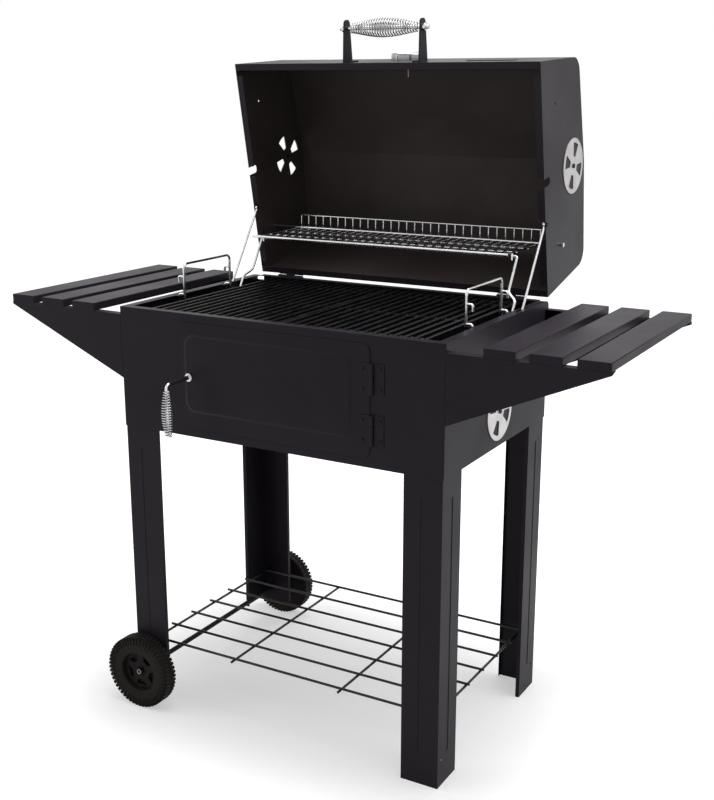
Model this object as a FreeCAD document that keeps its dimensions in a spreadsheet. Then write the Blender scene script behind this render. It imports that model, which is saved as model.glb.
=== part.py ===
import FreeCAD, Part
import math
import os
import Sketcher

# Charcoal grill cart with its lid swung open.  Millimetres, +Z up, front towards -Y.
# Every place is measured from the middle of the box's front face at ground level,
# and the whole cart is then set over the middle of its footprint.

Vector = FreeCAD.Vector
doc = FreeCAD.newDocument("GrillCart")

# --------------------------------------------------------------------------- driving sizes
SIZES = {
    # fire box and the opening in its front
    "box_half": 340, "box_deep": 458, "box_bottom": 581, "box_high": 233, "sheet": 1.5,
    "front_flange": 15, "side_flange": 18, "box_corner": 12,
    "opening_half": 190, "opening_margin": 28, "vent_above_floor": 66,
    # legs
    "leg_overlap": 19, "leg_flange": 74, "leg_lip": 8, "leg_raise": 50, "groove_wide": 8,
    "groove_deep": 0.9, "groove_end": 60, "rib_high": 0.8, "peg_hole_height": 51,
    "peg_hole_in": 15, "spare_hole_rise": 41,
    # wheels and axle
    "wheel_radius": 75, "wheel_wide": 30, "axle_inset": 25, "axle_radius": 5, "wheel_gap": 4,
    "tyre_wall": 35, "hub_radius": 17, "hub_recess": 12, "hub_gap": 0.4, "spokes": 5,
    "spoke_deep": 10, "spoke_set": 1, "spoke_inset": 4, "gap_root": 22, "gap_tip": 28,
    "cap_radius": 7, "cap_long": 6, "spacer_radius": 9,
    "rear_wheel_gap": 30,
    # side shelves
    "slat_wide": 55, "slat_pitch": 78, "slat_gap": 65, "slat_count": 3, "slat_high": 15,
    "slat_sheet": 1.2, "slat_round": 1.8, "slat_overhang": 1, "shelf_drop": 124, "shelf_tip": 5,
    "shelf_flange": 18, "shelf_relief": 4,
    # bottom wire shelf
    "shelf_wire": 5, "shelf_height": 128, "long_wires": 7, "shelf_inset": 29.5,
    "wire_tip_inset": 15, "cross_inset": 23, "inner_cross": 121, "wire_end": 8, "weld": 0.4,
    # door, its hinges and its latch
    "door_overlap": 12, "door_corner": 14, "door_gap": 0.5,
    "emboss_inset": 14, "emboss_hinge_inset": 26, "emboss_high": 2.5, "emboss_corner": 12,
    "hinge_beside": 14.3, "knuckle_radius": 3.5, "knuckle_room": 0.8, "knuckle_gap": 0.3,
    "hinge_pin": 1.6, "hinge_high": 54, "hinge_drop": 3.9, "hinge_pitch": 90,
    "leaf_reach": 23, "door_leaf_gap": 0.5, "frame_leaf_gap": 1.2, "rivet_reach": 15.5,
    "rivet_rise": 17.5, "rivet_radius": 3, "rivet_high": 2, "rivet_offset": 2.5,
    "latch_in": 22, "latch_rise": 99, "latch_rod": 4, "latch_reach": 70, "latch_bend": 9,
    "latch_wire": 3, "washer_thick": 1.3, "washer_gap": 0.2, "grip_gap": 1.5, "grip_long": 88,
    "grip_radius": 11.5, "grip_shoulder": 9.8, "grip_end_radius": 6.5,
    "tongue_long": 24, "tongue_half": 5, "tongue_thick": 3, "tongue_gap": 1.5,
    "collar_radius": 6, "collar_gap": 0.3,
    # cooking grates
    "grate_wire": 5, "grate_drop": 3, "grate_pitch": 20, "grate_end_cross": 54,
    "grate_gap": 1.5, "ledge_reach": 32, "ledge_lip": 12, "seat_gap": 0.3,
    # charcoal tray and its bails
    "tray_side_gap": 38, "tray_inset": 40, "tray_rise": 59, "tray_high": 60, "tray_sheet": 2,
    "bail_span": 153.5, "bail_rise": 62.5, "bail_wire": 2.5, "bail_bend": 10, "bail_gap": 0.1,
    "bail_foot": 10, "hook_reach": 12.2, "hook_bend": 4, "hook_step": 35, "hook_drop": 12,
    "hook_slot": 7, "hook_tab_gap": 2,
    # lid, in its closed pose
    "lid_angle": 79, "lid_axis_behind": 8, "lid_axis_drop": 3, "lid_side_gap": 6.5,
    "lid_rear_gap": 2, "lid_rim_gap": 1, "lid_front_set": 12, "lid_lip": 12, "lip_slope": 0.3,
    "rear_corner_in": 9, "rear_corner_high": 204, "rear_round": 33,
    "crown_behind": 9, "crown_high": 217, "crown_round": 10,
    "front_lean": 26.5, "front_corner_high": 199, "front_round": 34,
    "notch_wide": 16, "notch_high": 28, "notch_round": 6, "notch_room": 3,
    "peg_from_front": 89, "peg_high": 67,
    "lid_hinge_inset": 82, "lid_hinge_wide": 60, "lid_knuckle": 5, "lid_pin": 2.5,
    "lid_leaf_high": 34, "base_leaf_high": 36, "barrel_gap": 0.3, "base_fold": 1.5,
    # vents
    "vent_radius": 54, "vent_thick": 1.2, "slot_inner": 18, "slot_outer": 45, "slot_narrow": 5.5,
    "slot_broad": 13.5, "slot_turn": 22, "vent_pin": 2.5, "vent_head": 4.5,
    "vent_head_high": 2, "running": 0.05,
    "face_gap": 0.2, "lid_vent_behind": 4, "lid_vent_high": 152,
    # things on the lid
    "gauge_in": 130, "bezel_radius": 34, "bezel_wall": 4, "bezel_high": 13, "dial_high": 8,
    "dial_thick": 1, "stem_radius": 1.6, "stem_long": 34,
    "badge_in": 57, "badge_out": 213.5, "badge_wide": 97, "badge_high": 20, "badge_thick": 1.2,
    "handle_in": 31, "handle_out": 83, "handle_stand": 80, "handle_rod_stand": 64,
    "handle_plate": 3, "handle_base": 34, "handle_top": 20, "handle_round": 9, "handle_tab": 13,
    "handle_rod": 4, "handle_rod_half": 97, "nut_radius": 7.5, "nut_long": 6, "grip_half": 74,
    "spring_radius": 18.5, "spring_shoulder": 15.2, "spring_end_radius": 7, "coil_gap": 0.3,
    # warming rack, its legs and the lid's stay rods
    "rack_pin_behind": 62, "rack_pin_rise": 102, "rack_pin": 3, "rack_wire": 3.6, "rack_bar": 3,
    "rack_front_before": 96, "rack_fence_behind": 85, "rack_fence_high": 28, "rack_side_gap": 51,
    "rack_bars": 31, "rack_cross": 60, "rack_seat": 0.3, "rack_nut": 4.4, "rack_nut_gap": 0.5,
    "lug_plate": 3, "lug_wall": 4,
    "foot_before": 119, "foot_drop": 14, "foot_tab": 10, "rack_leg_set": 2.4,
    "rack_leg_top": 12, "foot_inset": 13, "foot_end_gap": 0.6,
    "leg_wire": 2.5, "open_pin": 0.7, "crank_high": 0.62, "crank_low": 0.75,
    "top_bend": 3.5, "crank_bend": 14, "foot_bend": 4,
    "stay_inset": 4.5, "stay_in": 144, "stay_high": 6, "stay_radius": 2.25, "stay_eye": 5,
    "stay_pin": 2, "stay_pin_head": 4, "stay_pin_tail": 3.6, "stay_tail_long": 1.5,
    "stay_head_long": 2, "stay_gap": 0.5, "stay_before": 116, "stay_slot_room_front": 39,
    "stay_slot_room_back": 5, "stay_slot_wide": 5.5, "stop_below": 5, "stop_radius": 4,
    "stop_thick": 2, "stay_room_back": 28, "stay_room_front": 11,
    # where the front face stands, set below so that the footprint is centred
    "front_place": 0,
}

sheet = doc.addObject("Spreadsheet::Sheet", "Sizes")
CELLS = {}
for row, (alias, number) in enumerate(SIZES.items(), start=1):
    CELLS[alias] = f"B{row}"
    sheet.set(f"A{row}", alias)
    sheet.set(CELLS[alias], str(number))
    sheet.setAlias(CELLS[alias], alias)
doc.recompute()


class Size:
    """A number that remembers the sheet expression it comes from."""

    def __init__(self, number, text=None):
        self.number = float(number)
        self.text = text or repr(round(float(number), 9))

    def __float__(self):
        return self.number

    def __neg__(self):
        return Size(-self.number, f"(-1 * {self.text})")

    def __add__(self, other):
        return Size(self.number + float(other), f"({self.text} + {text(other)})")

    def __sub__(self, other):
        return Size(self.number - float(other), f"({self.text} - {text(other)})")

    def __mul__(self, other):
        return Size(self.number * float(other), f"({self.text} * {text(other)})")

    def __truediv__(self, other):
        return Size(self.number / float(other), f"({self.text} / {text(other)})")

    def __radd__(self, other):
        return Size(other) + self

    def __rsub__(self, other):
        return Size(other) - self

    def __rmul__(self, other):
        return Size(other) * self


def text(size):
    return size.text if isinstance(size, Size) else Size(size).text


class Sheet:
    """Reads a driving size by its alias."""

    def __getattr__(self, alias):
        return Size(sheet.get(alias), f"Sizes.{alias}")


S = Sheet()


def whole(size):
    """The largest whole number that a size holds."""
    return Size(math.floor(size.number + 1e-9), f"floor({size.text} + 0.000000001)")


# --------------------------------------------------------------------------- sizes that follow
ZERO = Size(0)

S.box_top = S.box_bottom + S.box_high
S.leg_top = S.box_bottom + S.leg_overlap
S.box_vent_height = S.box_bottom + S.vent_above_floor
S.wheel_out = S.box_half - S.axle_inset

S.slat_first = S.box_half + S.slat_gap
S.shelf_reach = (S.slat_gap + (S.slat_count - 1) * S.slat_pitch + S.slat_wide
                 + S.slat_overhang)
S.wire_reach = S.box_half - S.wire_tip_inset
S.outer_cross = S.box_half - S.cross_inset
S.long_pitch = (S.box_deep - 2 * S.shelf_inset) / (S.long_wires - 1)

# the door overlaps its opening all round, and the hinge stands beside the opening
S.opening_bottom = S.box_bottom + S.opening_margin
S.opening_top = S.box_top - S.opening_margin
S.door_half = S.opening_half + S.door_overlap
S.door_bottom = S.opening_bottom - S.door_overlap
S.door_top = S.opening_top + S.door_overlap
S.hinge_out = S.opening_half + S.hinge_beside
S.hinge_front = S.knuckle_radius + S.door_gap
S.hinge_middle = (S.door_bottom + S.door_top) / 2 - S.hinge_drop
S.latch_out = S.door_half - S.latch_in
S.latch_height = S.door_bottom + S.latch_rise

# the tray hangs from the side flanges, inside the box
S.tray_half = S.box_half - S.tray_side_gap
S.tray_bottom = S.box_bottom + S.tray_rise
S.bail_front = (S.box_deep - S.bail_span) / 2
S.bail_top = S.box_top + S.bail_rise
S.hook_low = S.box_top + S.bail_wire + S.seat_gap
S.grate_top = S.box_top - S.grate_drop
S.grate_bars = whole(S.tray_half / S.grate_pitch)
S.grate_spacing = S.box_deep / 2 - S.grate_end_cross

# the lid closes just inside the box's side walls
S.lid_half = S.box_half - S.lid_side_gap
S.lid_deep = S.box_deep + S.lid_rear_gap - S.lid_front_set
S.crown_in = S.lid_deep / 2 - S.crown_behind
S.front_corner_in = S.lid_deep - S.front_lean
S.notch_in = S.lid_deep / 2
S.peg_in = S.lid_deep - S.peg_from_front
S.lid_vent_in = S.lid_deep / 2 - S.lid_vent_behind
S.lid_hinge_out = S.box_half - S.lid_hinge_inset

NODES = []


# --------------------------------------------------------------------------- small tools
def bind(thing, path, size):
    thing.setExpression(path, text(size))


def set_down(thing, x=0, y=0, z=0):
    for axis, size in zip("xyz", (x, y, z)):
        bind(thing, f".Placement.Base.{axis}", size)


def node(thing, name, frame="cart"):
    """Names a finished sub-part and stands it on the cart, or turns it open with the lid."""
    if frame == "lid":
        thing.Placement = FreeCAD.Placement(Vector(), FreeCAD.Rotation(Vector(-1, 0, 0), 1))
        bind(thing, ".Placement.Rotation.Angle", S.lid_angle)
        set_down(thing, 0, S.front_place + lid_axis_y, lid_axis_z)
    elif frame == "front wall":
        # x stays x, y runs up the lid's front wall from its rim, z stands off the wall
        rim_back, rim_up = lid_to_open(*lid_spot(S.lid_deep, 0))
        thing.Placement = FreeCAD.Placement(Vector(), FreeCAD.Rotation(Vector(1, 0, 0), 1))
        bind(thing, ".Placement.Rotation.Angle", 90 - wall_lean - S.lid_angle)
        set_down(thing, 0, S.front_place + lid_axis_y + rim_back, lid_axis_z + rim_up)
    else:
        set_down(thing, 0, S.front_place, 0)
    thing.Label = name
    NODES.append(thing)
    return thing


def block(name, x, y, z):
    """A box between pairs of places."""
    solid = doc.addObject("Part::Box", name)
    for path, (low, high) in zip(("Length", "Width", "Height"), (x, y, z)):
        bind(solid, path, high - low)
    set_down(solid, x[0], y[0], z[0])
    return solid


TURNS = {
    "x": FreeCAD.Rotation(Vector(0, 1, 0), 90),
    "y": FreeCAD.Rotation(Vector(1, 0, 0), -90),
    "z": FreeCAD.Rotation(),
}


def rod(name, axis, start, length, radius):
    """A round bar that runs from start in the axis's direction."""
    solid = doc.addObject("Part::Cylinder", name)
    solid.Placement = FreeCAD.Placement(Vector(), TURNS[axis])
    bind(solid, "Radius", radius)
    bind(solid, "Height", length)
    set_down(solid, *start)
    return solid


def join(name, solids):
    joined = doc.addObject("Part::MultiFuse", name)
    joined.Shapes = solids
    joined.Refine = False
    return joined


def gather(name, solids):
    """Keeps several separate pieces in one sub-part."""
    group = doc.addObject("Part::Compound", name)
    group.Links = solids
    return group


def cut(name, base, tools):
    result = doc.addObject("Part::Cut", name)
    result.Base = base
    result.Tool = tools[0] if len(tools) == 1 else join(name + "Tools", tools)
    return result


NORMALS = {"XY": 1, "XZ": -1, "YZ": 1}


class Piece:
    """A PartDesign body made of padded and pocketed outlines on its own origin planes.

    An outline is a list of corners, an (across, up, radius) circle, or a rounded
    rectangle given as (left, right, low, high, radius)."""

    def __init__(self, name):
        self.name = name
        self.body = doc.addObject("PartDesign::Body", name)

    def sketch(self, plane, offset, outlines):
        role = plane + "_Plane"
        face = [item for item in self.body.Origin.OriginFeatures if item.Role == role][0]
        drawing = self.body.newObject("Sketcher::SketchObject", self.name + "Sketch")
        drawing.AttachmentSupport = (face, [""])
        drawing.MapMode = "FlatFace"
        bind(drawing, ".AttachmentOffset.Base.z", offset)
        for outline in outlines:
            if isinstance(outline, tuple) and len(outline) == 3:
                self.circle(drawing, *outline)
            elif isinstance(outline, tuple):
                self.rounded(drawing, *outline)
            else:
                self.polygon(drawing, outline)
        return drawing

    def hold(self, drawing, kind, start, end, size):
        place = drawing.addConstraint(Sketcher.Constraint(kind, *start, *end, float(size)))
        if isinstance(size, Size):
            drawing.setExpression(f"Constraints[{place}]", size.text)

    def circle(self, drawing, across, up, radius):
        centre = Vector(float(across), float(up), 0)
        index = drawing.addGeometry(Part.Circle(centre, Vector(0, 0, 1), float(radius)), False)
        self.hold(drawing, "DistanceX", (-1, 1), (index, 3), across)
        self.hold(drawing, "DistanceY", (-1, 1), (index, 3), up)
        self.hold(drawing, "Radius", (index,), (), radius)

    def polygon(self, drawing, corners):
        spots = [Vector(float(across), float(up), 0) for across, up in corners]
        count = len(spots)
        lines = [
            drawing.addGeometry(Part.LineSegment(spots[i], spots[(i + 1) % count]), False)
            for i in range(count)
        ]
        for i, line in enumerate(lines):
            following = lines[(i + 1) % count]
            drawing.addConstraint(Sketcher.Constraint("Coincident", line, 2, following, 1))
            self.hold(drawing, "DistanceX", (-1, 1), (line, 1), corners[i][0])
            self.hold(drawing, "DistanceY", (-1, 1), (line, 1), corners[i][1])

    def rounded(self, drawing, left, right, low, high, radius):
        quarter = math.pi / 2
        stretches = [
            ((left + radius, low), (right - radius, low)), ((right, low + radius), (right, high - radius)),
            ((right - radius, high), (left + radius, high)), ((left, high - radius), (left, low + radius)),
        ]
        centres = [(right - radius, low + radius), (right - radius, high - radius),
                   (left + radius, high - radius), (left + radius, low + radius)]
        lines = []
        for stretch in stretches:
            ends = [Vector(float(across), float(up), 0) for across, up in stretch]
            line = drawing.addGeometry(Part.LineSegment(*ends), False)
            for vertex, (across, up) in zip((1, 2), stretch):
                self.hold(drawing, "DistanceX", (-1, 1), (line, vertex), across)
                self.hold(drawing, "DistanceY", (-1, 1), (line, vertex), up)
            lines.append(line)
        for i, (across, up) in enumerate(centres):
            circle = Part.Circle(Vector(float(across), float(up), 0), Vector(0, 0, 1), float(radius))
            arc = drawing.addGeometry(Part.ArcOfCircle(circle, (i - 1) * quarter, i * quarter), False)
            drawing.addConstraint(Sketcher.Constraint("Coincident", lines[i], 2, arc, 1))
            drawing.addConstraint(Sketcher.Constraint("Coincident", arc, 2, lines[(i + 1) % 4], 1))
            self.hold(drawing, "Radius", (arc,), (), radius)

    def pad(self, plane, low, high, *outlines):
        start = low if NORMALS[plane] > 0 else -high
        pad = self.body.newObject("PartDesign::Pad", self.name + "Pad")
        pad.Profile = self.sketch(plane, start, outlines)
        bind(pad, "Length", high - low)
        self.body.Tip = pad
        return self

    def pocket(self, plane, low, high, *outlines):
        doc.recompute()
        before = self.body.Shape.Volume
        start = high if NORMALS[plane] > 0 else -low
        pocket = self.body.newObject("PartDesign::Pocket", self.name + "Pocket")
        pocket.Profile = self.sketch(plane, start, outlines)
        bind(pocket, "Length", high - low)
        self.body.Tip = pocket
        doc.recompute()
        if self.body.Shape.Volume >= before:
            raise RuntimeError(f"the pocket in {self.name} cuts nothing")
        return self

    def turn(self, plane, *outlines):
        """Revolves an outline about the plane's first axis."""
        revolution = self.body.newObject("PartDesign::Revolution", self.name + "Turned")
        drawing = self.sketch(plane, 0, outlines)
        revolution.Profile = drawing
        revolution.ReferenceAxis = (drawing, ["H_Axis"])
        revolution.Angle = 360
        self.body.Tip = revolution
        return self

    def repeat(self, features, axis, count, span):
        """Repeats features along one origin axis; the last copy lies a span away."""
        line = [item for item in self.body.Origin.OriginFeatures if item.Role == axis + "_Axis"][0]
        pattern = self.body.newObject("PartDesign::LinearPattern", self.name + "Row")
        pattern.Originals = features
        pattern.Direction = (line, [""])
        bind(pattern, "Length", span)
        bind(pattern, "Occurrences", count)
        self.body.Tip = pattern
        return self

    def soften(self, radius, plane, corners):
        """Rounds the edges that stand on the given corners, square to a plane."""
        doc.recompute()
        axes = {"XY": "xy", "XZ": "xz", "YZ": "yz"}[plane]
        base = self.body.Tip
        chosen = []
        for number, edge in enumerate(base.Shape.Edges, start=1):
            for corner in corners:
                ends = [vertex.Point for vertex in edge.Vertexes]
                near = [
                    abs(getattr(end, axis) - float(place)) < 0.01
                    for end in ends for axis, place in zip(axes, corner)
                ]
                if len(ends) == 2 and all(near):
                    chosen.append(f"Edge{number}")
        fillet = self.body.newObject("PartDesign::Fillet", self.name + "Round")
        fillet.Base = (base, chosen)
        bind(fillet, "Radius", radius)
        self.body.Tip = fillet
        return self

    def shell(self, wall, openings):
        """Hollows the body and leaves the faces at the given (axis, place) pairs open."""
        doc.recompute()
        base = self.body.Tip
        chosen = []
        for number, face in enumerate(base.Shape.Faces, start=1):
            box = face.BoundBox
            for axis, place in openings:
                low, high = getattr(box, axis + "Min"), getattr(box, axis + "Max")
                if abs(low - float(place)) < 0.01 and abs(high - float(place)) < 0.01:
                    chosen.append(f"Face{number}")
        thick = self.body.newObject("PartDesign::Thickness", self.name + "Wall")
        thick.Base = (base, chosen)
        bind(thick, "Value", wall)
        thick.Reversed = True
        thick.Join = 1
        self.body.Tip = thick
        return self

    def done(self, frame="cart", name=None):
        return node(self.body, name or self.name, frame)


def rectangle(across, up):
    (left, right), (low, high) = across, up
    return [(left, low), (right, low), (right, high), (left, high)]


def bent_wire(points, bends, radius):
    """A round wire along straight runs joined by tangent arcs, one bend for each inner point."""
    spots = [Vector(*[float(place) for place in point]) for point in points]
    edges = []
    start = spots[0]
    for i, bend in enumerate(bends, start=1):
        before = (spots[i] - spots[i - 1]).normalize()
        after = (spots[i + 1] - spots[i]).normalize()
        half_turn = before.getAngle(after) / 2
        reach = float(bend) * math.tan(half_turn)
        inward = (after - before).normalize()
        middle = spots[i] + inward * (float(bend) / math.cos(half_turn) - float(bend))
        entry, leave = spots[i] - before * reach, spots[i] + after * reach
        if start.distanceToPoint(entry) > 0.001:
            edges.append(Part.LineSegment(start, entry).toShape())
        edges.append(Part.Arc(entry, middle, leave).toShape())
        start = leave
    edges.append(Part.LineSegment(start, spots[-1]).toShape())
    path = Part.Wire(edges)
    ring = Part.Circle(spots[0], spots[1] - spots[0], float(radius)).toShape()
    return path.makePipeShell([Part.Wire([ring])], True, True)


def shaped(name, shape, frame="cart"):
    """A sub-part whose shape is worked out from the sheet's values in code."""
    thing = doc.addObject("Part::Feature", name)
    thing.Shape = shape
    return node(thing, name, frame)


# --------------------------------------------------------------------------- shared places
lid_axis_y = S.box_deep + S.lid_axis_behind
lid_axis_z = S.box_top - S.lid_axis_drop
inner_half = S.box_half - S.sheet
back_inside = S.box_deep - S.sheet
flange_under = S.box_top - S.sheet
flange_edge = S.box_half - S.side_flange
leg_foot_place = lid_axis_y - S.foot_before
leg_foot_height = S.box_top - S.foot_drop
rack_front_half = S.box_half - S.rack_side_gap
rack_leg_out = rack_front_half + S.rack_leg_set
stay_out = S.lid_half - S.stay_inset
stay_slot_place = lid_axis_y - S.stay_before
SIDES = {"left": -1, "right": 1}


def span(side, near, far):
    """An x range given outwards from the middle, on the chosen side, low end first."""
    return (near, far) if side > 0 else (-far, -near)


def between(first, second):
    """Two places along an axis, low end first."""
    return (first, second) if float(first) < float(second) else (second, first)


# --------------------------------------------------------------------------- fire box
def vent_slots(across, up, turn):
    """Four tapered slots round a centre, each with a round outer end; turn is the first
    slot's direction in degrees."""
    spread = math.asin(float(S.slot_broad / S.slot_outer))
    rounded = [
        (S.slot_outer * math.cos(spread * share), S.slot_outer * math.sin(spread * share))
        for share in (-1, -0.5, 0, 0.5, 1)
    ]
    slots = []
    for quarter in range(4):
        angle = math.radians(turn + 90 * quarter)
        cosine, sine = math.cos(angle), math.sin(angle)
        corners = [(S.slot_inner, -S.slot_narrow)] + rounded + [(S.slot_inner, S.slot_narrow)]
        slots.append([
            (across + out * cosine - along * sine, up + out * sine + along * cosine)
            for out, along in corners
        ])
    return slots


def fire_box():
    front = Piece("firebox_front_panel")
    front.pad("XZ", ZERO, S.sheet,
              rectangle((-S.box_half, S.box_half), (S.box_bottom, S.box_top)))
    front.pocket("XZ", -S.sheet, 2 * S.sheet,
                 rectangle((-S.opening_half, S.opening_half), (S.opening_bottom, S.opening_top)))
    front.pad("XY", flange_under, S.box_top,
              rectangle((-flange_edge, flange_edge), (S.sheet, S.sheet + S.front_flange)))
    front.done()

    back = Piece("firebox_rear_panel")
    back.pad("XZ", back_inside, S.box_deep,
             rectangle((-inner_half, inner_half), (S.box_bottom, S.box_top - S.box_corner)))
    back.pad("XZ", back_inside, S.box_deep,
             rectangle((-flange_edge, flange_edge), (S.box_top - S.box_corner, S.box_top)))
    back.pad("XY", flange_under, S.box_top,
             rectangle((-flange_edge, flange_edge), (back_inside - S.front_flange, back_inside)))
    back.done()

    for word, side in SIDES.items():
        wall = Piece(f"firebox_{word}_panel")
        top_rear = (S.box_deep, S.box_top)
        wall.pad("YZ", *span(side, inner_half, S.box_half),
                 rectangle((S.sheet, S.box_deep), (S.box_bottom, S.box_top)))
        wall.soften(S.box_corner, "YZ", [top_rear])
        flange_end = S.box_deep - S.box_corner
        wall.pad("XY", flange_under, S.box_top,
                 rectangle(span(side, flange_edge, inner_half), (S.sheet, flange_end)))
        for place in (S.bail_front, S.bail_front + S.bail_span):
            wall.pad("XY", flange_under, S.box_top,
                     rectangle(span(side, hook_inner, flange_edge),
                               (place - S.hook_slot, place + S.hook_slot)))
            wall.pocket("XY", flange_under - 1, S.box_top + 1,
                        rectangle(span(side, hook_tip - S.hook_slot / 2, hook_tip + S.hook_slot / 2),
                                  (place - S.hook_slot / 2, place + S.hook_slot / 2)))
        half_slot = S.stay_slot_wide / 2
        wall.pocket("XY", flange_under - 1, S.box_top + 1,
                    rectangle(span(side, stay_out - half_slot, stay_out + half_slot),
                              (stay_slot_place - S.stay_slot_room_front,
                               stay_slot_place + S.stay_slot_room_back)))
        wall.pad("YZ", *span(side, flange_edge, flange_edge + S.sheet),
                 rectangle((leg_foot_place - S.foot_tab, leg_foot_place + S.foot_tab),
                           (leg_foot_height - S.foot_tab, flange_under)))
        wall.pocket("YZ", *span(side, flange_edge - 1, flange_edge + S.sheet + 1),
                    (leg_foot_place, leg_foot_height, S.leg_wire + S.running))
        wall.pocket("YZ", *span(side, inner_half - 1, S.box_half + 1),
                    *vent_slots(S.box_deep / 2, S.box_vent_height, S.slot_turn))
        wall.pocket("YZ", *span(side, inner_half - 1, S.box_half + 1),
                    (S.box_deep / 2, S.box_vent_height, S.vent_pin))
        wall.done()

    floor = Piece("firebox_floor")
    floor.pad("XY", S.leg_top, S.leg_top + S.sheet,
              rectangle((-inner_half, inner_half), (S.sheet, back_inside)))
    floor.done()


ledge_top = S.grate_top - S.grate_wire - S.seat_gap


def grate_ledges():
    """An angle strip on the front wall and one on the back wall carry the grates."""
    ledges = Piece("grate_ledges")
    reach = rack_leg_out - 2 * S.leg_wire
    for wall, inward in ((S.sheet, 1), (back_inside, -1)):
        shelf = between(wall, wall + inward * S.ledge_reach)
        strip = between(wall, wall + inward * S.sheet)
        ledges.pad("XY", ledge_top - S.sheet, ledge_top, rectangle((-reach, reach), shelf))
        ledges.pad("XY", ledge_top - S.ledge_lip, ledge_top - S.sheet,
                   rectangle((-reach, reach), strip))
    return ledges


# --------------------------------------------------------------------------- legs
def legs():
    """Four folded angle legs, a pressed groove down each flange; the left pair is shorter."""
    for word, side in SIDES.items():
        foot = S.leg_raise if side < 0 else ZERO
        for row, corner, inward in (("front", S.sheet, 1), ("rear", back_inside, -1)):
            leg = Piece(f"leg_{row}_{word}")
            out = side * inner_half
            inner = out - side * S.sheet
            tip = out - side * S.leg_flange
            face = corner + inward * S.sheet
            edge = corner + inward * S.leg_flange
            lip = inward * S.leg_lip
            leg.pad("XY", foot, S.leg_top, [
                (out, corner), (out, edge), (out - side * S.leg_lip, edge),
                (out - side * S.leg_lip, edge - inward * S.sheet),
                (inner, edge - inward * S.sheet), (inner, face), (tip + side * S.sheet, face),
                (tip + side * S.sheet, corner + lip), (tip, corner + lip), (tip, corner),
            ])
            half = S.groove_wide / 2
            middle_x = out - side * S.leg_flange / 2
            middle_y = corner + inward * S.leg_flange / 2
            along = (foot + S.groove_end, S.leg_top - S.groove_end)
            front_groove = rectangle((middle_x - half, middle_x + half), along)
            side_groove = rectangle((middle_y - half, middle_y + half), along)
            leg.pad("XZ", *between(face, face + inward * S.rib_high), front_groove)
            leg.pad("YZ", *between(inner, inner - side * S.rib_high), side_groove)
            leg.pocket("XZ", *between(corner, corner + inward * S.groove_deep), front_groove)
            leg.pocket("YZ", *between(out, out - side * S.groove_deep), side_groove)
            if side < 0:
                through = between(corner - inward, face + inward)
                spare = (out + S.peg_hole_in, foot + S.spare_hole_rise, S.vent_pin)
                leg.pocket("XZ", *through, (-S.wheel_out, S.wheel_radius, S.axle_radius), spare)
            else:
                leg.pocket("YZ", *between(inner - 1, out + 1),
                           (corner + inward * S.peg_hole_in, S.peg_hole_height, S.vent_pin))
            leg.done()


# --------------------------------------------------------------------------- wheels
# how far each wheel's back stands off the box's face; the rear one has a long spacer
wheel_faces = {-1: S.wheel_gap - S.sheet, 1: S.rear_wheel_gap - S.sheet}
axle_line = (-S.wheel_out, S.wheel_radius)


def wheel_back(outward):
    """The y place of a wheel's inner side."""
    return -wheel_faces[-1] if outward < 0 else S.box_deep + wheel_faces[1]


def hub_front(outward):
    """The y place of a hub's outer face, inside the wheel's dished side."""
    return wheel_back(outward) + outward * (S.wheel_wide - S.hub_recess)


def axle():
    low, high = hub_front(-1) - S.cap_long / 2, hub_front(1) + S.cap_long / 2
    x, z = axle_line
    shaft = rod("AxleShaft", "y", (x, low, z), high - low, S.axle_radius)
    spacers = [
        rod("AxleSpacer", "y", (x, place, z), wheel_faces[outward] - S.hub_gap + S.sheet,
            S.spacer_radius)
        for outward, place in ((-1, S.hub_gap - wheel_faces[-1]), (1, back_inside))
    ]
    node(join("AxleJoined", [shaft] + spacers), "axle")
    caps = [
        rod("AxleCap", "y", (x, place, z), S.cap_long, S.cap_radius)
        for place in (hub_front(-1) - S.hub_gap - S.cap_long, hub_front(1) + S.hub_gap)
    ]
    node(cut("AxleCapsCut", gather("AxleCapsSolid", caps), [shaft]), "axle_caps")


def wheels():
    """Two moulded wheels: a plain side wall, and a spoked disc set into its dished middle."""
    x, z = axle_line
    rim = S.wheel_radius - S.tyre_wall
    for word, outward in (("front", -1), ("rear", 1)):
        back = wheel_back(outward)
        tyre = between(back, back + outward * S.wheel_wide)
        spoke_face = hub_front(outward) - outward * S.spoke_set
        disc = between(spoke_face - outward * S.spoke_deep, spoke_face)
        wheel = Piece(f"wheel_{word}")
        wheel.pad("XZ", *tyre, (x, z, S.wheel_radius), (x, z, rim))
        wheel.pad("XZ", *disc, (x, z, rim + S.spoke_set))
        wheel.pad("XZ", *between(back, hub_front(outward)), (x, z, S.hub_radius))
        gaps = []
        for spoke in range(round(float(S.spokes))):
            middle_angle = 90 + 360 / float(S.spokes) * (spoke + 0.5)
            corners = []
            for radius, half_angle, signs in (
                    (S.hub_radius + S.spoke_inset, S.gap_root, (1, -1)),
                    (rim - S.spoke_inset, S.gap_tip, (-1, 1))):
                for sign in signs:
                    angle = math.radians(middle_angle + sign * float(half_angle))
                    corners.append((x + radius * math.cos(angle), z + radius * math.sin(angle)))
            gaps.append(corners)
        through = (tyre[0] - 1, tyre[1] + 1)
        wheel.pocket("XZ", *through, *gaps)
        wheel.pocket("XZ", *through, (x, z, S.axle_radius + S.running))
        wheel.done()


# --------------------------------------------------------------------------- side shelves
slat_under = S.box_top - S.slat_high
shelf_out = S.box_half + S.shelf_reach


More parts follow.
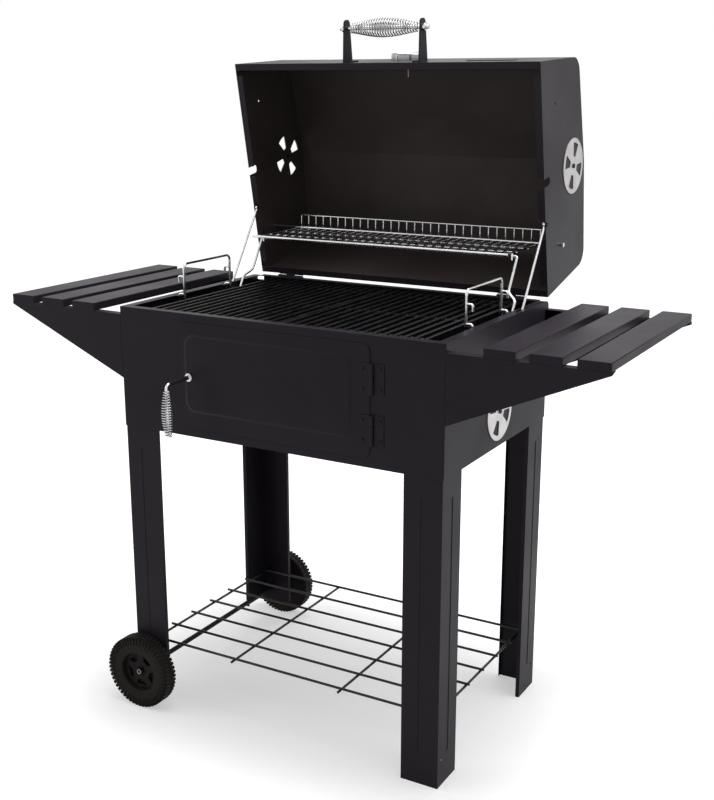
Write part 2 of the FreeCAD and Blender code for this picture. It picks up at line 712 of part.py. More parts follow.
def side_shelves():
    for word, side in SIDES.items():
        for row, skin, inward in (("front", ZERO, 1), ("rear", S.box_deep, -1)):
            bracket = Piece(f"shelf_bracket_{row}_{word}")
            near, far = side * S.box_half, side * shelf_out
            outline = [
                (near, slat_under), (far, slat_under), (far, slat_under - S.shelf_tip),
                (near, slat_under - S.shelf_drop),
            ]
            inside = skin + inward * S.sheet
            fold = between(inside, skin + inward * S.shelf_flange)
            bracket.pad("XZ", *between(skin, inside), outline)
            bracket.pad("XY", slat_under - S.sheet, slat_under,
                        rectangle(span(side, S.box_half, shelf_out), fold))
            wall = (slat_under - S.shelf_drop + S.shelf_relief, slat_under - S.sheet)
            bracket.pad("YZ", *span(side, S.box_half, S.box_half + S.sheet), rectangle(fold, wall))
            bracket.done()
        for number in range(round(float(S.slat_count))):
            low = S.slat_first + number * S.slat_pitch
            x_range = span(side, low, low + S.slat_wide)
            slat = Piece(f"shelf_slat_{word}_{number + 1}")
            slat.pad("XY", slat_under, S.box_top, rectangle(x_range, (ZERO, S.box_deep)))
            slat.soften(S.slat_round, "XZ", [(x_range[0], S.box_top), (x_range[1], S.box_top)])
            slat.shell(S.slat_sheet, [("Z", slat_under)])
            slat.done()


# --------------------------------------------------------------------------- wire shelf
def wire_shelf():
    radius = S.shelf_wire / 2
    middle = S.box_deep / 2
    first = middle - (S.long_wires - 1) * S.long_pitch / 2
    low = S.shelf_height - S.shelf_wire + S.weld
    shelf = Piece("wire_shelf")
    shelf.pad("YZ", -S.wire_reach, S.wire_reach, (first, S.shelf_height, radius))
    shelf.repeat([shelf.body.Tip], "Y", S.long_wires, (S.long_wires - 1) * S.long_pitch)
    leg_face = (2 * S.sheet, S.box_deep - 2 * S.sheet)
    shelf.pad("XZ", *leg_face, (-S.outer_cross, low, radius), (S.outer_cross, low, radius))
    last = first + (S.long_wires - 1) * S.long_pitch
    shelf.pad("XZ", first - S.wire_end, last + S.wire_end,
              (-S.inner_cross, low, radius), (S.inner_cross, low, radius))
    shelf.done()


# --------------------------------------------------------------------------- door
door_back = -S.door_gap
door_face = -S.door_gap - S.sheet
hinge_centres = [S.hinge_middle + S.hinge_pitch / 2, S.hinge_middle - S.hinge_pitch / 2]


def knuckle(name, low, high, bore):
    centre = (S.hinge_out, -S.hinge_front, low)
    barrel = rod(name + "Barrel", "z", centre, high - low, S.knuckle_radius)
    hole = rod(name + "Bore", "z", (S.hinge_out, -S.hinge_front, low - 1), high - low + 2, bore)
    return barrel, hole


def door():
    panel = Piece("door_panel")
    hinge_edge = S.hinge_out - S.knuckle_radius - S.knuckle_room
    panel.pad("XZ", door_face, door_back,
              (-S.door_half, hinge_edge, S.door_bottom, S.door_top, S.door_corner))
    left, right = -S.door_half + S.emboss_inset, S.door_half - S.emboss_hinge_inset
    low, high = S.door_bottom + S.emboss_inset, S.door_top - S.emboss_inset
    panel.pad("XZ", door_face - S.emboss_high, door_face,
              (left, right, low, high, S.emboss_corner))
    panel.pocket("XZ", door_back - S.emboss_high, door_back + 1,
                 (left + S.sheet, right - S.sheet, low + S.sheet, high - S.sheet,
                  S.emboss_corner - S.sheet))
    panel.pocket("XZ", door_face - S.emboss_high - 1, door_back + 1,
                 (-S.latch_out, S.latch_height, S.latch_rod + S.running))
    panel.done()

    half, third = S.hinge_high / 2, S.hinge_high / 6
    frame_parts, door_parts, pins, frame_rivets, door_rivets = [], [], [], [], []
    for centre in hinge_centres:
        barrel, hole = knuckle("DoorKnuckle", centre - third + S.knuckle_gap,
                               centre + third - S.knuckle_gap, S.hinge_pin + S.running)
        leaf = block("DoorLeaf", (S.hinge_out - S.leaf_reach, S.hinge_out - S.door_leaf_gap),
                     (door_face - S.sheet, door_face), (centre - half, centre + half))
        room = S.knuckle_radius + S.knuckle_room / 2
        reliefs = [
            block("DoorLeafRelief", (S.hinge_out - room, S.hinge_out + 1),
                  (door_face - S.sheet - 1, door_face + 1), stretch)
            for stretch in ((centre + third - S.knuckle_gap, centre + half + 1),
                            (centre - half - 1, centre - third + S.knuckle_gap))
        ]
        body = join("DoorLeafJoined", [barrel, leaf])
        door_parts.append(cut("DoorLeafCut", body, [hole] + reliefs))
        leaf = block("FrameLeaf", (S.hinge_out + S.frame_leaf_gap, S.hinge_out + S.leaf_reach),
                     (-S.sheet, ZERO), (centre - half, centre + half))
        relief = block("FrameLeafRelief", (S.hinge_out, S.hinge_out + room),
                       (-S.sheet - 1, S.sheet), (centre - third, centre + third))
        frame_parts.append(cut("FrameLeafCut", leaf, [relief]))
        for low, high in ((centre + third, centre + half), (centre - half, centre - third)):
            barrel, hole = knuckle("FrameKnuckle", low, high, S.hinge_pin)
            frame_parts.append(cut("FrameKnuckleCut", barrel, [hole]))
        pins.append(rod("DoorPin", "z", (S.hinge_out, -S.hinge_front, centre - half),
                        S.hinge_high, S.hinge_pin))
        for rise in (-S.rivet_rise, S.rivet_rise):
            place = (S.hinge_out + S.rivet_reach, -S.sheet - S.rivet_high, centre + rise)
            frame_rivets.append(rod("FrameRivet", "y", place, S.rivet_high, S.rivet_radius))
            place = (S.hinge_out - S.rivet_reach - S.rivet_offset,
                     door_face - S.sheet - S.rivet_high, centre + rise)
            door_rivets.append(rod("DoorRivet", "y", place, S.rivet_high, S.rivet_radius))
    frame_leaves = join("FrameLeaves", frame_parts)
    node(gather("FrameLeavesRivets", [frame_leaves] + frame_rivets), "door_frame_leaves")
    node(gather("DoorLeavesRivets", door_parts + door_rivets), "door_leaves")
    node(gather("DoorPins", pins), "door_hinge_pins")


def latch():
    """A turning rod through the door, its tongue behind the jamb and its sprung grip in front."""
    x, z = -S.latch_out, S.latch_height
    raised_face = door_face - S.emboss_high
    collar_start = door_back - S.emboss_high + S.collar_gap
    tongue = (S.sheet + S.tongue_gap, S.sheet + S.tongue_gap + S.tongue_thick)
    rod_end = -S.latch_reach + S.latch_bend
    washer_start = raised_face - S.washer_gap - S.washer_thick
    node(join("LatchRodJoined", [
        rod("LatchShaft", "y", (x, rod_end, z), tongue[1] - rod_end, S.latch_rod),
        rod("LatchWasher", "y", (x, washer_start, z), S.washer_thick, 2 * S.latch_rod),
        block("LatchTongueBar", (x - S.tongue_half, x + S.tongue_half), tongue,
              (z - S.tongue_long, z)),
        rod("LatchCollar", "y", (x, collar_start, z), tongue[0] - collar_start, S.collar_radius),
    ]), "latch_rod")

    grip_top = z - S.latch_bend - S.grip_gap
    shaped("latch_handle_wire", bent_wire(
        [(x, rod_end, z), (x, -S.latch_reach, z), (x, -S.latch_reach, grip_top - S.grip_long)],
        [S.latch_bend], S.latch_wire))
    grip = Piece("latch_grip")
    bore = S.latch_wire + S.coil_gap
    shares = ((0, S.grip_end_radius), (0.2, S.grip_shoulder), (0.45, S.grip_radius),
              (0.75, S.grip_shoulder), (1, S.grip_end_radius), (1, bore), (0, bore))
    grip.turn("XZ", [(S.grip_long * share, radius) for share, radius in shares])
    grip.done()
    grip.body.Placement = FreeCAD.Placement(Vector(), FreeCAD.Rotation(Vector(0, 1, 0), 90))
    set_down(grip.body, x, S.front_place - S.latch_reach, grip_top)


# --------------------------------------------------------------------------- grates
def grates():
    radius = S.grate_wire / 2
    height = S.grate_top - radius
    front = S.sheet + S.front_flange + S.grate_gap
    back = back_inside - S.front_flange - S.grate_gap
    for word, side in SIDES.items():
        first = side * S.grate_pitch / 4
        row = (S.grate_bars - 1) * S.grate_pitch
        grate = Piece(f"cooking_grate_{word}")
        start = first if side > 0 else first - row
        grate.pad("XZ", front, back, (start, height, radius))
        grate.repeat([grate.body.Tip], "X", S.grate_bars, row)
        low = height - S.grate_wire + S.weld
        for place in (-1, 0, 1):
            grate.pad("YZ", start - radius, start + row + radius,
                      (S.box_deep / 2 + place * S.grate_spacing, low, radius))
        grate.done()


# --------------------------------------------------------------------------- charcoal tray
bail_out = S.tray_half + S.bail_wire + S.bail_gap
hook_tip = bail_out + S.hook_reach
hook_inner = bail_out + S.bail_wire + S.hook_tab_gap


def charcoal_tray():
    tray = Piece("charcoal_tray")
    base = rectangle((-S.tray_half, S.tray_half), (S.tray_inset, S.box_deep - S.tray_inset))
    tray.pad("XY", S.tray_bottom, S.tray_bottom + S.tray_high, base)
    tray.soften(S.box_corner, "XY", base)
    tray.shell(S.tray_sheet, [("Z", S.tray_bottom + S.tray_high)])
    tray.done()

    pieces = []
    back = S.bail_front + S.bail_span
    foot = S.tray_bottom + S.bail_foot
    for side in SIDES.values():
        x = side * bail_out
        arch = bent_wire([(x, S.bail_front, foot), (x, S.bail_front, S.bail_top),
                          (x, back, S.bail_top), (x, back, foot)],
                         [S.bail_bend, S.bail_bend], S.bail_wire)
        for place in (S.bail_front, back):
            for step in (0, 1):
                top = S.hook_low + step * S.hook_step
                tip = side * hook_tip
                hook = bent_wire([(x, place, top), (tip, place, top), (tip, place, top - S.hook_drop)],
                                 [S.hook_bend], S.bail_wire)
                arch = arch.fuse(hook)
        pieces.append(arch)
    shaped("tray_bails", Part.makeCompound(pieces))


# --------------------------------------------------------------------------- lid
# Lid places are counted from the hinge axis with the lid closed: y backwards, z up.
rim_rear = -(S.lid_axis_behind - S.lid_rear_gap)
rim_low = S.lid_axis_drop + S.lid_rim_gap


def lid_spot(forward, up):
    return (rim_rear - forward, rim_low + up)


def lid_corners():
    return [
        lid_spot(0, 0), lid_spot(S.rear_corner_in, S.rear_corner_high),
        lid_spot(S.crown_in, S.crown_high), lid_spot(S.front_corner_in, S.front_corner_high),
        lid_spot(S.lid_deep, 0),
    ]


wall_lean = math.degrees(math.atan2(float(S.lid_deep - S.front_corner_in),
                                    float(S.front_corner_high)))


def front_wall(along, stand):
    """A place on the lid's front wall: along it from the rim, and off its outer face."""
    sine, cosine = math.sin(math.radians(wall_lean)), math.cos(math.radians(wall_lean))
    return lid_spot(S.lid_deep - along * sine + stand * cosine, along * cosine + stand * sine)


def lid_shell():
    corners = lid_corners()
    rounds = (S.rear_round, S.crown_round, S.front_round)
    plate_in = S.lid_half - S.sheet

    wrap = Piece("LidWrapSheet")
    wrap.pad("YZ", -plate_in, plate_in, corners)
    for radius, corner in zip(rounds, corners[1:4]):
        wrap.soften(radius, "YZ", [corner])
    wrap.shell(S.sheet, [("Z", rim_low), ("X", plate_in), ("X", -plate_in)])
    # a lip starts in the thickness of its leaning wall, which carries it
    root = S.sheet / 2 + S.lip_slope
    for forward, reach in ((root, S.lid_lip), (S.lid_deep - root, -S.lid_lip)):
        start = rim_rear - forward
        wrap.pad("XY", rim_low, rim_low + S.sheet,
                 rectangle((-plate_in, plate_in), between(start, start - reach)))
    hole = rod("StemHole", "z", (0, *front_wall(S.gauge_in, -2 * S.sheet)), 3 * S.sheet, S.stem_radius)
    hole.Placement.Rotation = FreeCAD.Rotation(Vector(1, 0, 0), 90 - wall_lean)
    node(cut("LidWrapCut", wrap.body, [hole]), "lid_wrap", "lid")

    stay = lid_spot(S.stay_in, S.stay_high)
    for word, side in SIDES.items():
        end = Piece(f"lid_{word}_end")
        x_plate = span(side, plate_in, S.lid_half)
        through = span(side, plate_in - 1, S.lid_half + 1)
        end.pad("YZ", *x_plate, corners)
        for radius, corner in zip(rounds, corners[1:4]):
            end.soften(radius, "YZ", [corner])
        half = S.notch_wide / 2
        notch_y = rim_rear - S.notch_in
        lips = [
            (rim_rear - S.lid_lip * 2, stay[0] + S.stay_room_back),
            (stay[0] - S.stay_room_front, notch_y + half + S.notch_room),
            (notch_y - half - S.notch_room, rim_rear - S.lid_deep + S.lid_lip * 2),
        ]
        for back, front in lips:
            end.pad("XY", rim_low, rim_low + S.sheet,
                    rectangle(span(side, plate_in - S.lid_lip, plate_in), (front, back)))
        notch_top = rim_low + S.notch_high
        end.pocket("YZ", *through,
                   rectangle((notch_y - half, notch_y + half), (rim_low - 1, notch_top)))
        end.soften(S.notch_round, "YZ", [(notch_y - half, notch_top), (notch_y + half, notch_top)])
        vent = lid_spot(S.lid_vent_in, S.lid_vent_high)
        end.pocket("YZ", *through, *vent_slots(*vent, S.slot_turn))
        end.pocket("YZ", *through, (*vent, S.vent_pin),
                   (*lid_spot(S.peg_in, S.peg_high), S.vent_pin),
                   (*stay, S.stay_pin),
                   (*open_to_lid(S.rack_pin_behind, S.rack_pin_rise), S.rack_pin + S.running))
        end.done("lid")


def open_to_lid(back, up):
    """Turns a place seen from the hinge axis with the lid open into the lid's closed frame."""
    angle = math.radians(float(S.lid_angle))
    return (back * math.cos(angle) - up * math.sin(angle),
            back * math.sin(angle) + up * math.cos(angle))


def lid_to_open(back, up):
    """The opposite turn: from the lid's closed frame to a place with the lid open."""
    angle = math.radians(float(S.lid_angle))
    return (back * math.cos(angle) + up * math.sin(angle),
            up * math.cos(angle) - back * math.sin(angle))


def lid_hinges():
    """Two hinges; their fixed leaves sit on the back wall, the others on the lid."""
    fixed, moving, pins = [], [], []
    half, third = S.lid_hinge_wide / 2, S.lid_hinge_wide / 6
    fold_top = lid_axis_z - S.lid_knuckle + 1
    for word, side in SIDES.items():
        middle = side * S.lid_hinge_out
        wide = (middle - half, middle + half)
        leaf = block("LidBaseLeaf", wide, (S.box_deep, S.box_deep + S.sheet),
                     (fold_top - S.base_leaf_high, fold_top))
        fold = block("LidBaseFold", wide, (S.box_deep, lid_axis_y),
                     (fold_top - S.base_fold, fold_top))
        relief = block("LidBaseRelief",
                       (middle - third - S.barrel_gap, middle + third + S.barrel_gap),
                       (S.box_deep + S.sheet + 2 * S.barrel_gap, lid_axis_y + 1),
                       (fold_top - S.base_fold - 1, fold_top + 1))
        barrels = [
            rod("LidBaseBarrel", "x", (start, lid_axis_y, lid_axis_z), half - third, S.lid_knuckle)
            for start in (middle - half, middle + third)
        ]
        bore = rod("LidBaseBore", "x", (middle - half - 1, lid_axis_y, lid_axis_z), 2 * half + 2,
                   S.lid_pin)
        joined = join("LidBaseJoined", [leaf, fold] + barrels)
        fixed.append(cut("LidBaseCut", joined, [bore, relief]))
        pins.append(rod("LidPin", "x", (middle - half, lid_axis_y, lid_axis_z), 2 * half,
                        S.lid_pin))

        slope = S.rear_corner_in / S.rear_corner_high
        skin = rim_rear + S.sheet
        top = rim_low + S.lid_leaf_high
        plate = Piece(f"LidLeafPlate{word.title()}")
        plate.pad("YZ", *wide, [
            (rim_rear, rim_low), (skin, rim_low),
            (skin - slope * S.lid_leaf_high, top), (rim_rear - slope * S.lid_leaf_high, top),
        ])
        low, high = middle - third + S.barrel_gap, middle + third - S.barrel_gap
        plate.pad("XY", -S.lid_pin, rim_low, rectangle((low, high), (rim_rear, skin)))
        barrel = rod("LidLeafBarrel", "x", (low, 0, 0), high - low, S.lid_knuckle)
        bore = rod("LidLeafBore", "x", (middle - half, 0, 0), 2 * half, S.lid_pin + S.running)
        joined = join("LidLeafJoined", [plate.body, barrel])
        moving.append(cut("LidLeafCut", joined, [bore]))
    node(gather("LidBaseLeaves", fixed), "lid_base_leaves")
    node(gather("LidPins", pins), "lid_hinge_pins")
    node(gather("LidLeaves", moving), "lid_leaves", "lid")


# --------------------------------------------------------------------------- vents
def vents():
    lid_vent = lid_spot(S.lid_vent_in, S.lid_vent_high)
    box_vent = (S.box_deep / 2, S.box_vent_height)
    places = (("lid", "lid", S.lid_half, lid_vent), ("box", "cart", S.box_half, box_vent))
    for word, frame, wall, (across, up) in places:
        pins = []
        for side_word, side in SIDES.items():
            near, far = wall + S.face_gap, wall + S.face_gap + S.vent_thick
            closed_by = 0 if (word, side_word) == ("lid", "left") else 45
            disc = Piece(f"vent_disc_{word}_{side_word}")
            disc.pad("YZ", *span(side, near, far), (across, up, S.vent_radius))
            through = span(side, near - 1, far + 1)
            disc.pocket("YZ", *through, *vent_slots(across, up, S.slot_turn + closed_by))
            disc.pocket("YZ", *through, (across, up, S.vent_pin + S.running))
            disc.done(frame)
            tail, head = wall - 2 * S.sheet, far + S.face_gap
            stretches = ((tail, head + S.vent_head_high, S.vent_pin),
                         (tail, wall - S.sheet, S.vent_head), (head, head + S.vent_head_high, S.vent_head))
            solids = []
            for start, end, radius in stretches:
                low, high = span(side, start, end)
                solids.append(rod("VentPin", "x", (low, across, up), high - low, radius))
            pins.append(join("VentPinJoined", solids))
        node(gather(f"{word}VentPins", pins), f"{word}_vent_pins", frame)


# --------------------------------------------------------------------------- lid fittings
def gauge():
    """The round thermometer, standing on the lid's front wall."""
    def disc(name, low, high, radius):
        return rod(name, "z", (0, S.gauge_in, low), high - low, radius)

    bore = S.bezel_radius - S.bezel_wall
    can = disc("GaugeCan", ZERO, S.bezel_high, S.bezel_radius)
    well = disc("GaugeWell", S.dial_high, S.bezel_high + 1, bore)
    node(cut("GaugeCut", can, [well]), "gauge_bezel", "front wall")
    dial = disc("GaugeDial", S.dial_high, S.dial_high + S.dial_thick, bore)
    node(gather("GaugeDialOnly", [dial]), "gauge_dial", "front wall")
    glass = disc("GaugeGlass", S.bezel_high - 2 * S.dial_thick, S.bezel_high - S.dial_thick, bore)
    node(gather("GaugeGlassOnly", [glass]), "gauge_glass", "front wall")
    stem = disc("GaugeStem", -S.stem_long, ZERO, S.stem_radius)
    node(gather("GaugeStemOnly", [stem]), "gauge_stem", "front wall")


def badge():
    half_wide, half_high = S.badge_wide / 2, S.badge_high / 2
    plate = Piece("badge_plate")
    plate.pad("XY", ZERO, S.badge_thick,
              rectangle((S.badge_out - half_wide, S.badge_out + half_wide),
                        (S.badge_in - half_high, S.badge_in + half_high)))
    plate.done("front wall")


def handle():
    brackets = []
    for word, side in SIDES.items():
        near, far = S.handle_out - S.handle_plate / 2, S.handle_out + S.handle_plate / 2
        base, top = S.handle_base / 2, S.handle_top / 2
        middle = S.handle_in
        outline = [(middle - base, ZERO), (middle + base, ZERO),
                   (middle + top, S.handle_stand), (middle - top, S.handle_stand)]
        bracket = Piece(f"HandleBracket{word.title()}")
        bracket.pad("YZ", *span(side, near, far), outline)
        bracket.soften(S.handle_round, "YZ", outline[2:])
        bracket.pad("XY", ZERO, S.handle_plate,
                    rectangle(span(side, near - S.handle_tab, near), (middle - base, middle + base)))
        bracket.pocket("YZ", *span(side, near - 1, far + 1),
                       (middle, S.handle_rod_stand, S.handle_rod))
        brackets.append(bracket.body)
    node(gather("HandleBrackets", brackets), "handle_brackets", "front wall")

    line = (S.handle_in, S.handle_rod_stand)
    bar = rod("HandleBar", "x", (-S.handle_rod_half, *line), 2 * S.handle_rod_half, S.handle_rod)
    nuts = []
    for side in SIDES.values():
        start = S.handle_out + S.handle_plate / 2
        low, high = span(side, start, start + S.nut_long)
        nuts.append(rod("HandleNut", "x", (low, *line), high - low, S.nut_radius))
    node(join("HandleRodJoined", [bar] + nuts), "handle_rod", "front wall")

    spring = Piece("HandleSpringBody")
    bore = S.handle_rod + S.coil_gap
    shares = ((-1, S.spring_end_radius), (-0.55, S.spring_shoulder), (-0.2, S.spring_radius),
              (0.2, S.spring_radius), (0.55, S.spring_shoulder), (1, S.spring_end_radius),
              (1, bore), (-1, bore))
    spring.turn("XY", [(S.grip_half * share, radius) for share, radius in shares])
    set_down(spring.body, 0, *line)
    node(gather("HandleSpring", [spring.body]), "handle_spring", "front wall")


# --------------------------------------------------------------------------- warming rack
rack_pin_y = lid_axis_y + S.rack_pin_behind
rack_pin_z = lid_axis_z + S.rack_pin_rise
open_pin_y = leg_foot_place + S.rack_pin_behind
open_pin_z = leg_foot_height + S.rack_pin_rise


def warming_rack():
    """A wire shelf that hangs on the lid's rack pin and is steered by two crank legs."""
    bar, frame = S.rack_bar / 2, S.rack_wire / 2
    level = rack_pin_z - S.rack_pin - bar + S.rack_seat
    half = rack_front_half - 2 * S.rack_wire
    front, fence = lid_axis_y - S.rack_front_before, lid_axis_y + S.rack_fence_behind
    fence_top = level + S.rack_fence_high
    rack = Piece("warming_rack")
    rack.pad("XZ", front, fence, (-half, level, bar))
    rack.repeat([rack.body.Tip], "X", S.rack_bars, 2 * half)
    rack.pad("XY", level, fence_top, (-half, fence, bar))
    rack.repeat([rack.body.Tip], "X", S.rack_bars, 2 * half)
    rack.pad("YZ", -half - frame, half + frame, (fence, fence_top, frame), (fence, level, frame))
    rack.pad("YZ", -rack_front_half, rack_front_half, (front, level, S.rack_pin))
    for place in (front + S.rack_cross, front + 2 * S.rack_cross):
        rack.pad("YZ", -half - frame, half + frame,
                 (place, level - bar - frame + S.weld, frame))
    reach = S.lid_half + S.nut_long
    rack.pad("YZ", -reach, reach, (rack_pin_y, rack_pin_z, S.rack_pin))
    lug = S.leg_wire + S.open_pin + S.lug_wall
    for side in SIDES.values():
        nut = span(side, S.lid_half + S.rack_nut_gap, reach)
        rack.pad("YZ", *nut, (rack_pin_y, rack_pin_z, S.rack_nut))
        plate = span(side, half + S.rack_seat, half + S.rack_seat + S.lug_plate)
        rack.pad("YZ", *plate, rectangle((open_pin_y - lug, open_pin_y + lug),
                                         (open_pin_z - lug, level)))
        rack.pocket("YZ", plate[0] - 1, plate[1] + 1,
                    (open_pin_y, open_pin_z, S.leg_wire + S.open_pin))
    rack.done()


def rack_legs():
    """Both crank legs: an open pin in the rack above, a foot pin in the box wall below."""
    def along(share):
        return (open_pin_y + (leg_foot_place - open_pin_y) * share,
                open_pin_z + (leg_foot_height - open_pin_z) * share)

    legs = []
    for side in SIDES.values():
        upper, lower = side * rack_leg_out, side * (flange_edge - S.foot_inset)
        inner = side * (rack_leg_out - S.rack_leg_top)
        tip = side * (flange_edge + 2 * S.sheet + S.foot_end_gap)
        points = [(inner, *along(0)), (upper, *along(0)), (upper, *along(S.crank_high)),
                  (lower, *along(S.crank_low)), (lower, *along(1)), (tip, *along(1))]
        bends = [S.top_bend, S.crank_bend, S.crank_bend, S.foot_bend]
        legs.append(bent_wire(points, bends, S.leg_wire))
    shaped("rack_legs", Part.makeCompound(legs))


def stay_rods():
    """Two rods from the lid's ends down through the flange slots, each with a stop disc."""
    back, up = lid_to_open(*lid_spot(S.stay_in, S.stay_high))
    pivot = Vector(0, float(lid_axis_y + back), float(lid_axis_z + up))
    slot = Vector(0, float(stay_slot_place), float(flange_under))
    along = (slot - pivot).normalize()
    length = (slot - pivot).Length + float(S.stop_below)
    radius, eye, stop = float(S.stay_radius), float(S.stay_eye), float(S.stop_thick)
    bore = float(S.stay_pin + S.running)
    across = Vector(1, 0, 0)
    rods = []
    for side in SIDES.values():
        top = pivot + across * (side * float(stay_out))
        bar = Part.makeCylinder(radius, length - eye + radius, top + along * (eye - radius), along)
        disc = Part.makeCylinder(float(S.stop_radius), stop, top + along * (length - stop / 2),
                                 along)
        ring = Part.makeCylinder(eye, 2 * radius, top - across * radius, across)
        hole = Part.makeCylinder(bore, 4 * radius, top - across * (2 * radius), across)
        rods.append(bar.fuse([disc, ring]).cut(hole))
    shaped("stay_rods", Part.makeCompound(rods))

    pins = []
    inner = stay_out - S.stay_radius - S.stay_gap
    tail, head = inner - S.stay_tail_long, S.lid_half + S.stay_head_long
    stretches = ((tail, head, S.stay_pin), (tail, inner, S.stay_pin_tail),
                 (S.lid_half, head, S.stay_pin_head))
    for side in SIDES.values():
        solids = []
        for start, end, size in stretches:
            low, high = span(side, start, end)
            solids.append(rod("StayPin", "x", (low, *lid_spot(S.stay_in, S.stay_high)),
                              high - low, size))
        pins.append(join("StayPinJoined", solids))
    node(gather("StayPins", pins), "stay_pins", "lid")


# --------------------------------------------------------------------------- the whole cart
fire_box()
grate_ledges().done()
legs()
axle()
wheels()
side_shelves()
wire_shelf()
door()
latch()
grates()
charcoal_tray()
lid_shell()
lid_hinges()
vents()
gauge()
badge()
handle()
warming_rack()
rack_legs()
stay_rods()

doc.recompute()
whole = FreeCAD.BoundBox()
for thing in NODES:
    whole.add(thing.Shape.BoundBox)
sheet.set(CELLS["front_place"], str(round(-whole.Center.y, 3)))
doc.recompute()

for thing in doc.Objects:
    if "Invalid" in thing.State or "Error" in thing.State:
        raise RuntimeError(f"{thing.Name} did not rebuild: {thing.State}")
for thing in NODES:
    if thing.Shape.isNull() or not thing.Shape.isValid():
        raise RuntimeError(f"{thing.Label} has no sound shape")

os.makedirs("parts", exist_ok=True)
for thing in NODES:
    thing.Shape.exportStep(f"parts/{thing.Label}.step")
print(len(NODES), "sub-parts; front face at y", sheet.get("front_place"))
print("overall size", whole.XLength, whole.YLength, whole.ZLength, "from z", whole.ZMin)
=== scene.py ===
# %% [markdown]
# # A charcoal grill cart, finished for rendering
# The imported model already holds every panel, wire and pin at its real size. This notebook
# gives those parts their finishes, softens their pressed edges, and makes the shapes that
# are easier to model here: coil springs, moulded wheels, the pressed fire door and the dial.

import math

import bmesh
import bpy
from mathutils import Matrix, Vector


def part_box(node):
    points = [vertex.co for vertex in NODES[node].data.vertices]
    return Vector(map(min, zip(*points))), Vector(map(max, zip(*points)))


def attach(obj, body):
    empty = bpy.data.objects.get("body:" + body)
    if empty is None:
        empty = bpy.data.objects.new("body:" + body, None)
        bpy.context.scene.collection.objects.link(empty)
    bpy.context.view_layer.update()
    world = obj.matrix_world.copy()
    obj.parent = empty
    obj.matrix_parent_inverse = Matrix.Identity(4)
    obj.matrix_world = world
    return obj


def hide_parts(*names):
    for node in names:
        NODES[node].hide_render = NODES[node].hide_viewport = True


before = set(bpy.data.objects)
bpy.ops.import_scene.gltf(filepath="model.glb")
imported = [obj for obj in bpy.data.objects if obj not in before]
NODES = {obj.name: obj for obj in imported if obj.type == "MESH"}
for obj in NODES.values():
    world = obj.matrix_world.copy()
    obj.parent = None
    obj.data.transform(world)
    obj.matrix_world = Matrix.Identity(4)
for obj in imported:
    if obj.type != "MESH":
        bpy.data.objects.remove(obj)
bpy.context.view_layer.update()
MM = 0.001
print(len(NODES), "parts in the frame")

# %% [markdown]
# ## Places
# Shapes are placed from the parts themselves. The front face of the box is the plane that
# the cart was drawn from, so the camera is placed from it. The lamps have places of their
# own in the room.


# %% Reference places
def middle(node):
    low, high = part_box(node)
    return (low + high) / 2


def extent(node):
    low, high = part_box(node)
    return high - low


FRONT_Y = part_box("firebox_front_panel")[0].y
print("front face at y =", round(FRONT_Y, 4))

# %% [markdown]
# ## Camera, floor and light
# A product picture is lit by big soft lamps in a white room. The floor stays pale and keeps
# the cart's shadow. Its whiteness is added only for what is seen straight, mirrored or
# through glass, so that it sends no soft light of its own up to the cart. Less whiteness is
# added near the cart, which paints a soft grey shade round its footprint.

# %% Camera
CAMERA_PLACE = Vector((1.1526, FRONT_Y - 1.7127, 1.2224))
CAMERA_TURN = (math.radians(75.13), 0.0, math.radians(29.73))
camera_data = bpy.data.cameras.new("camera")
camera_data.lens = 60.45
camera_data.sensor_width = 36
camera_data.sensor_fit = "HORIZONTAL"
camera_data.clip_end = 50
camera = bpy.data.objects.new("camera", camera_data)
camera.location = CAMERA_PLACE
camera.rotation_euler = CAMERA_TURN
bpy.context.collection.objects.link(camera)
bpy.context.scene.camera = camera
bpy.context.scene.view_settings.view_transform = "Standard"


# %% Node helpers
def new_node(tree, kind, **settings):
    """Adds a node; settings are its own properties."""
    node = tree.nodes.new(kind)
    for name, value in settings.items():
        setattr(node, name, value)
    return node


def feed(tree, target, value):
    """Links a socket into another, or sets a plain value on it."""
    if isinstance(value, bpy.types.NodeSocket):
        tree.links.new(value, target)
    else:
        target.default_value = value


def empty_material(name):
    material = bpy.data.materials.new(name)
    material.use_nodes = True
    tree = material.node_tree
    tree.nodes.clear()
    output = new_node(tree, "ShaderNodeOutputMaterial")
    return material, tree, output


# %% Floor and white room
def background_light(tree):
    """A value of 1 for what the camera, a reflection or a view through glass sees."""
    path = new_node(tree, "ShaderNodeLightPath")
    total = path.outputs["Is Camera Ray"]
    for name in ("Is Glossy Ray", "Is Transmission Ray"):
        add = new_node(tree, "ShaderNodeMath", operation="MAXIMUM")
        feed(tree, add.inputs[0], total)
        feed(tree, add.inputs[1], path.outputs[name])
        total = add.outputs[0]
    return total


def distance_from_cart(tree):
    """How far a point of the floor lies outside the cart's footprint."""
    low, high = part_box("wire_shelf")
    place = new_node(tree, "ShaderNodeTexCoord").outputs["Object"]
    centred = new_node(tree, "ShaderNodeVectorMath", operation="SUBTRACT")
    feed(tree, centred.inputs[0], place)
    centred.inputs[1].default_value = ((low.x + high.x) / 2, (low.y + high.y) / 2, 0)
    folded = new_node(tree, "ShaderNodeVectorMath", operation="ABSOLUTE")
    feed(tree, folded.inputs[0], centred.outputs[0])
    beyond = new_node(tree, "ShaderNodeVectorMath", operation="SUBTRACT")
    feed(tree, beyond.inputs[0], folded.outputs[0])
    beyond.inputs[1].default_value = ((high.x - low.x) / 2, (high.y - low.y) / 2, 0)
    outside = new_node(tree, "ShaderNodeVectorMath", operation="MAXIMUM")
    feed(tree, outside.inputs[0], beyond.outputs[0])
    outside.inputs[1].default_value = (0, 0, 0)
    length = new_node(tree, "ShaderNodeVectorMath", operation="LENGTH")
    feed(tree, length.inputs[0], outside.outputs[0])
    return length.outputs["Value"]


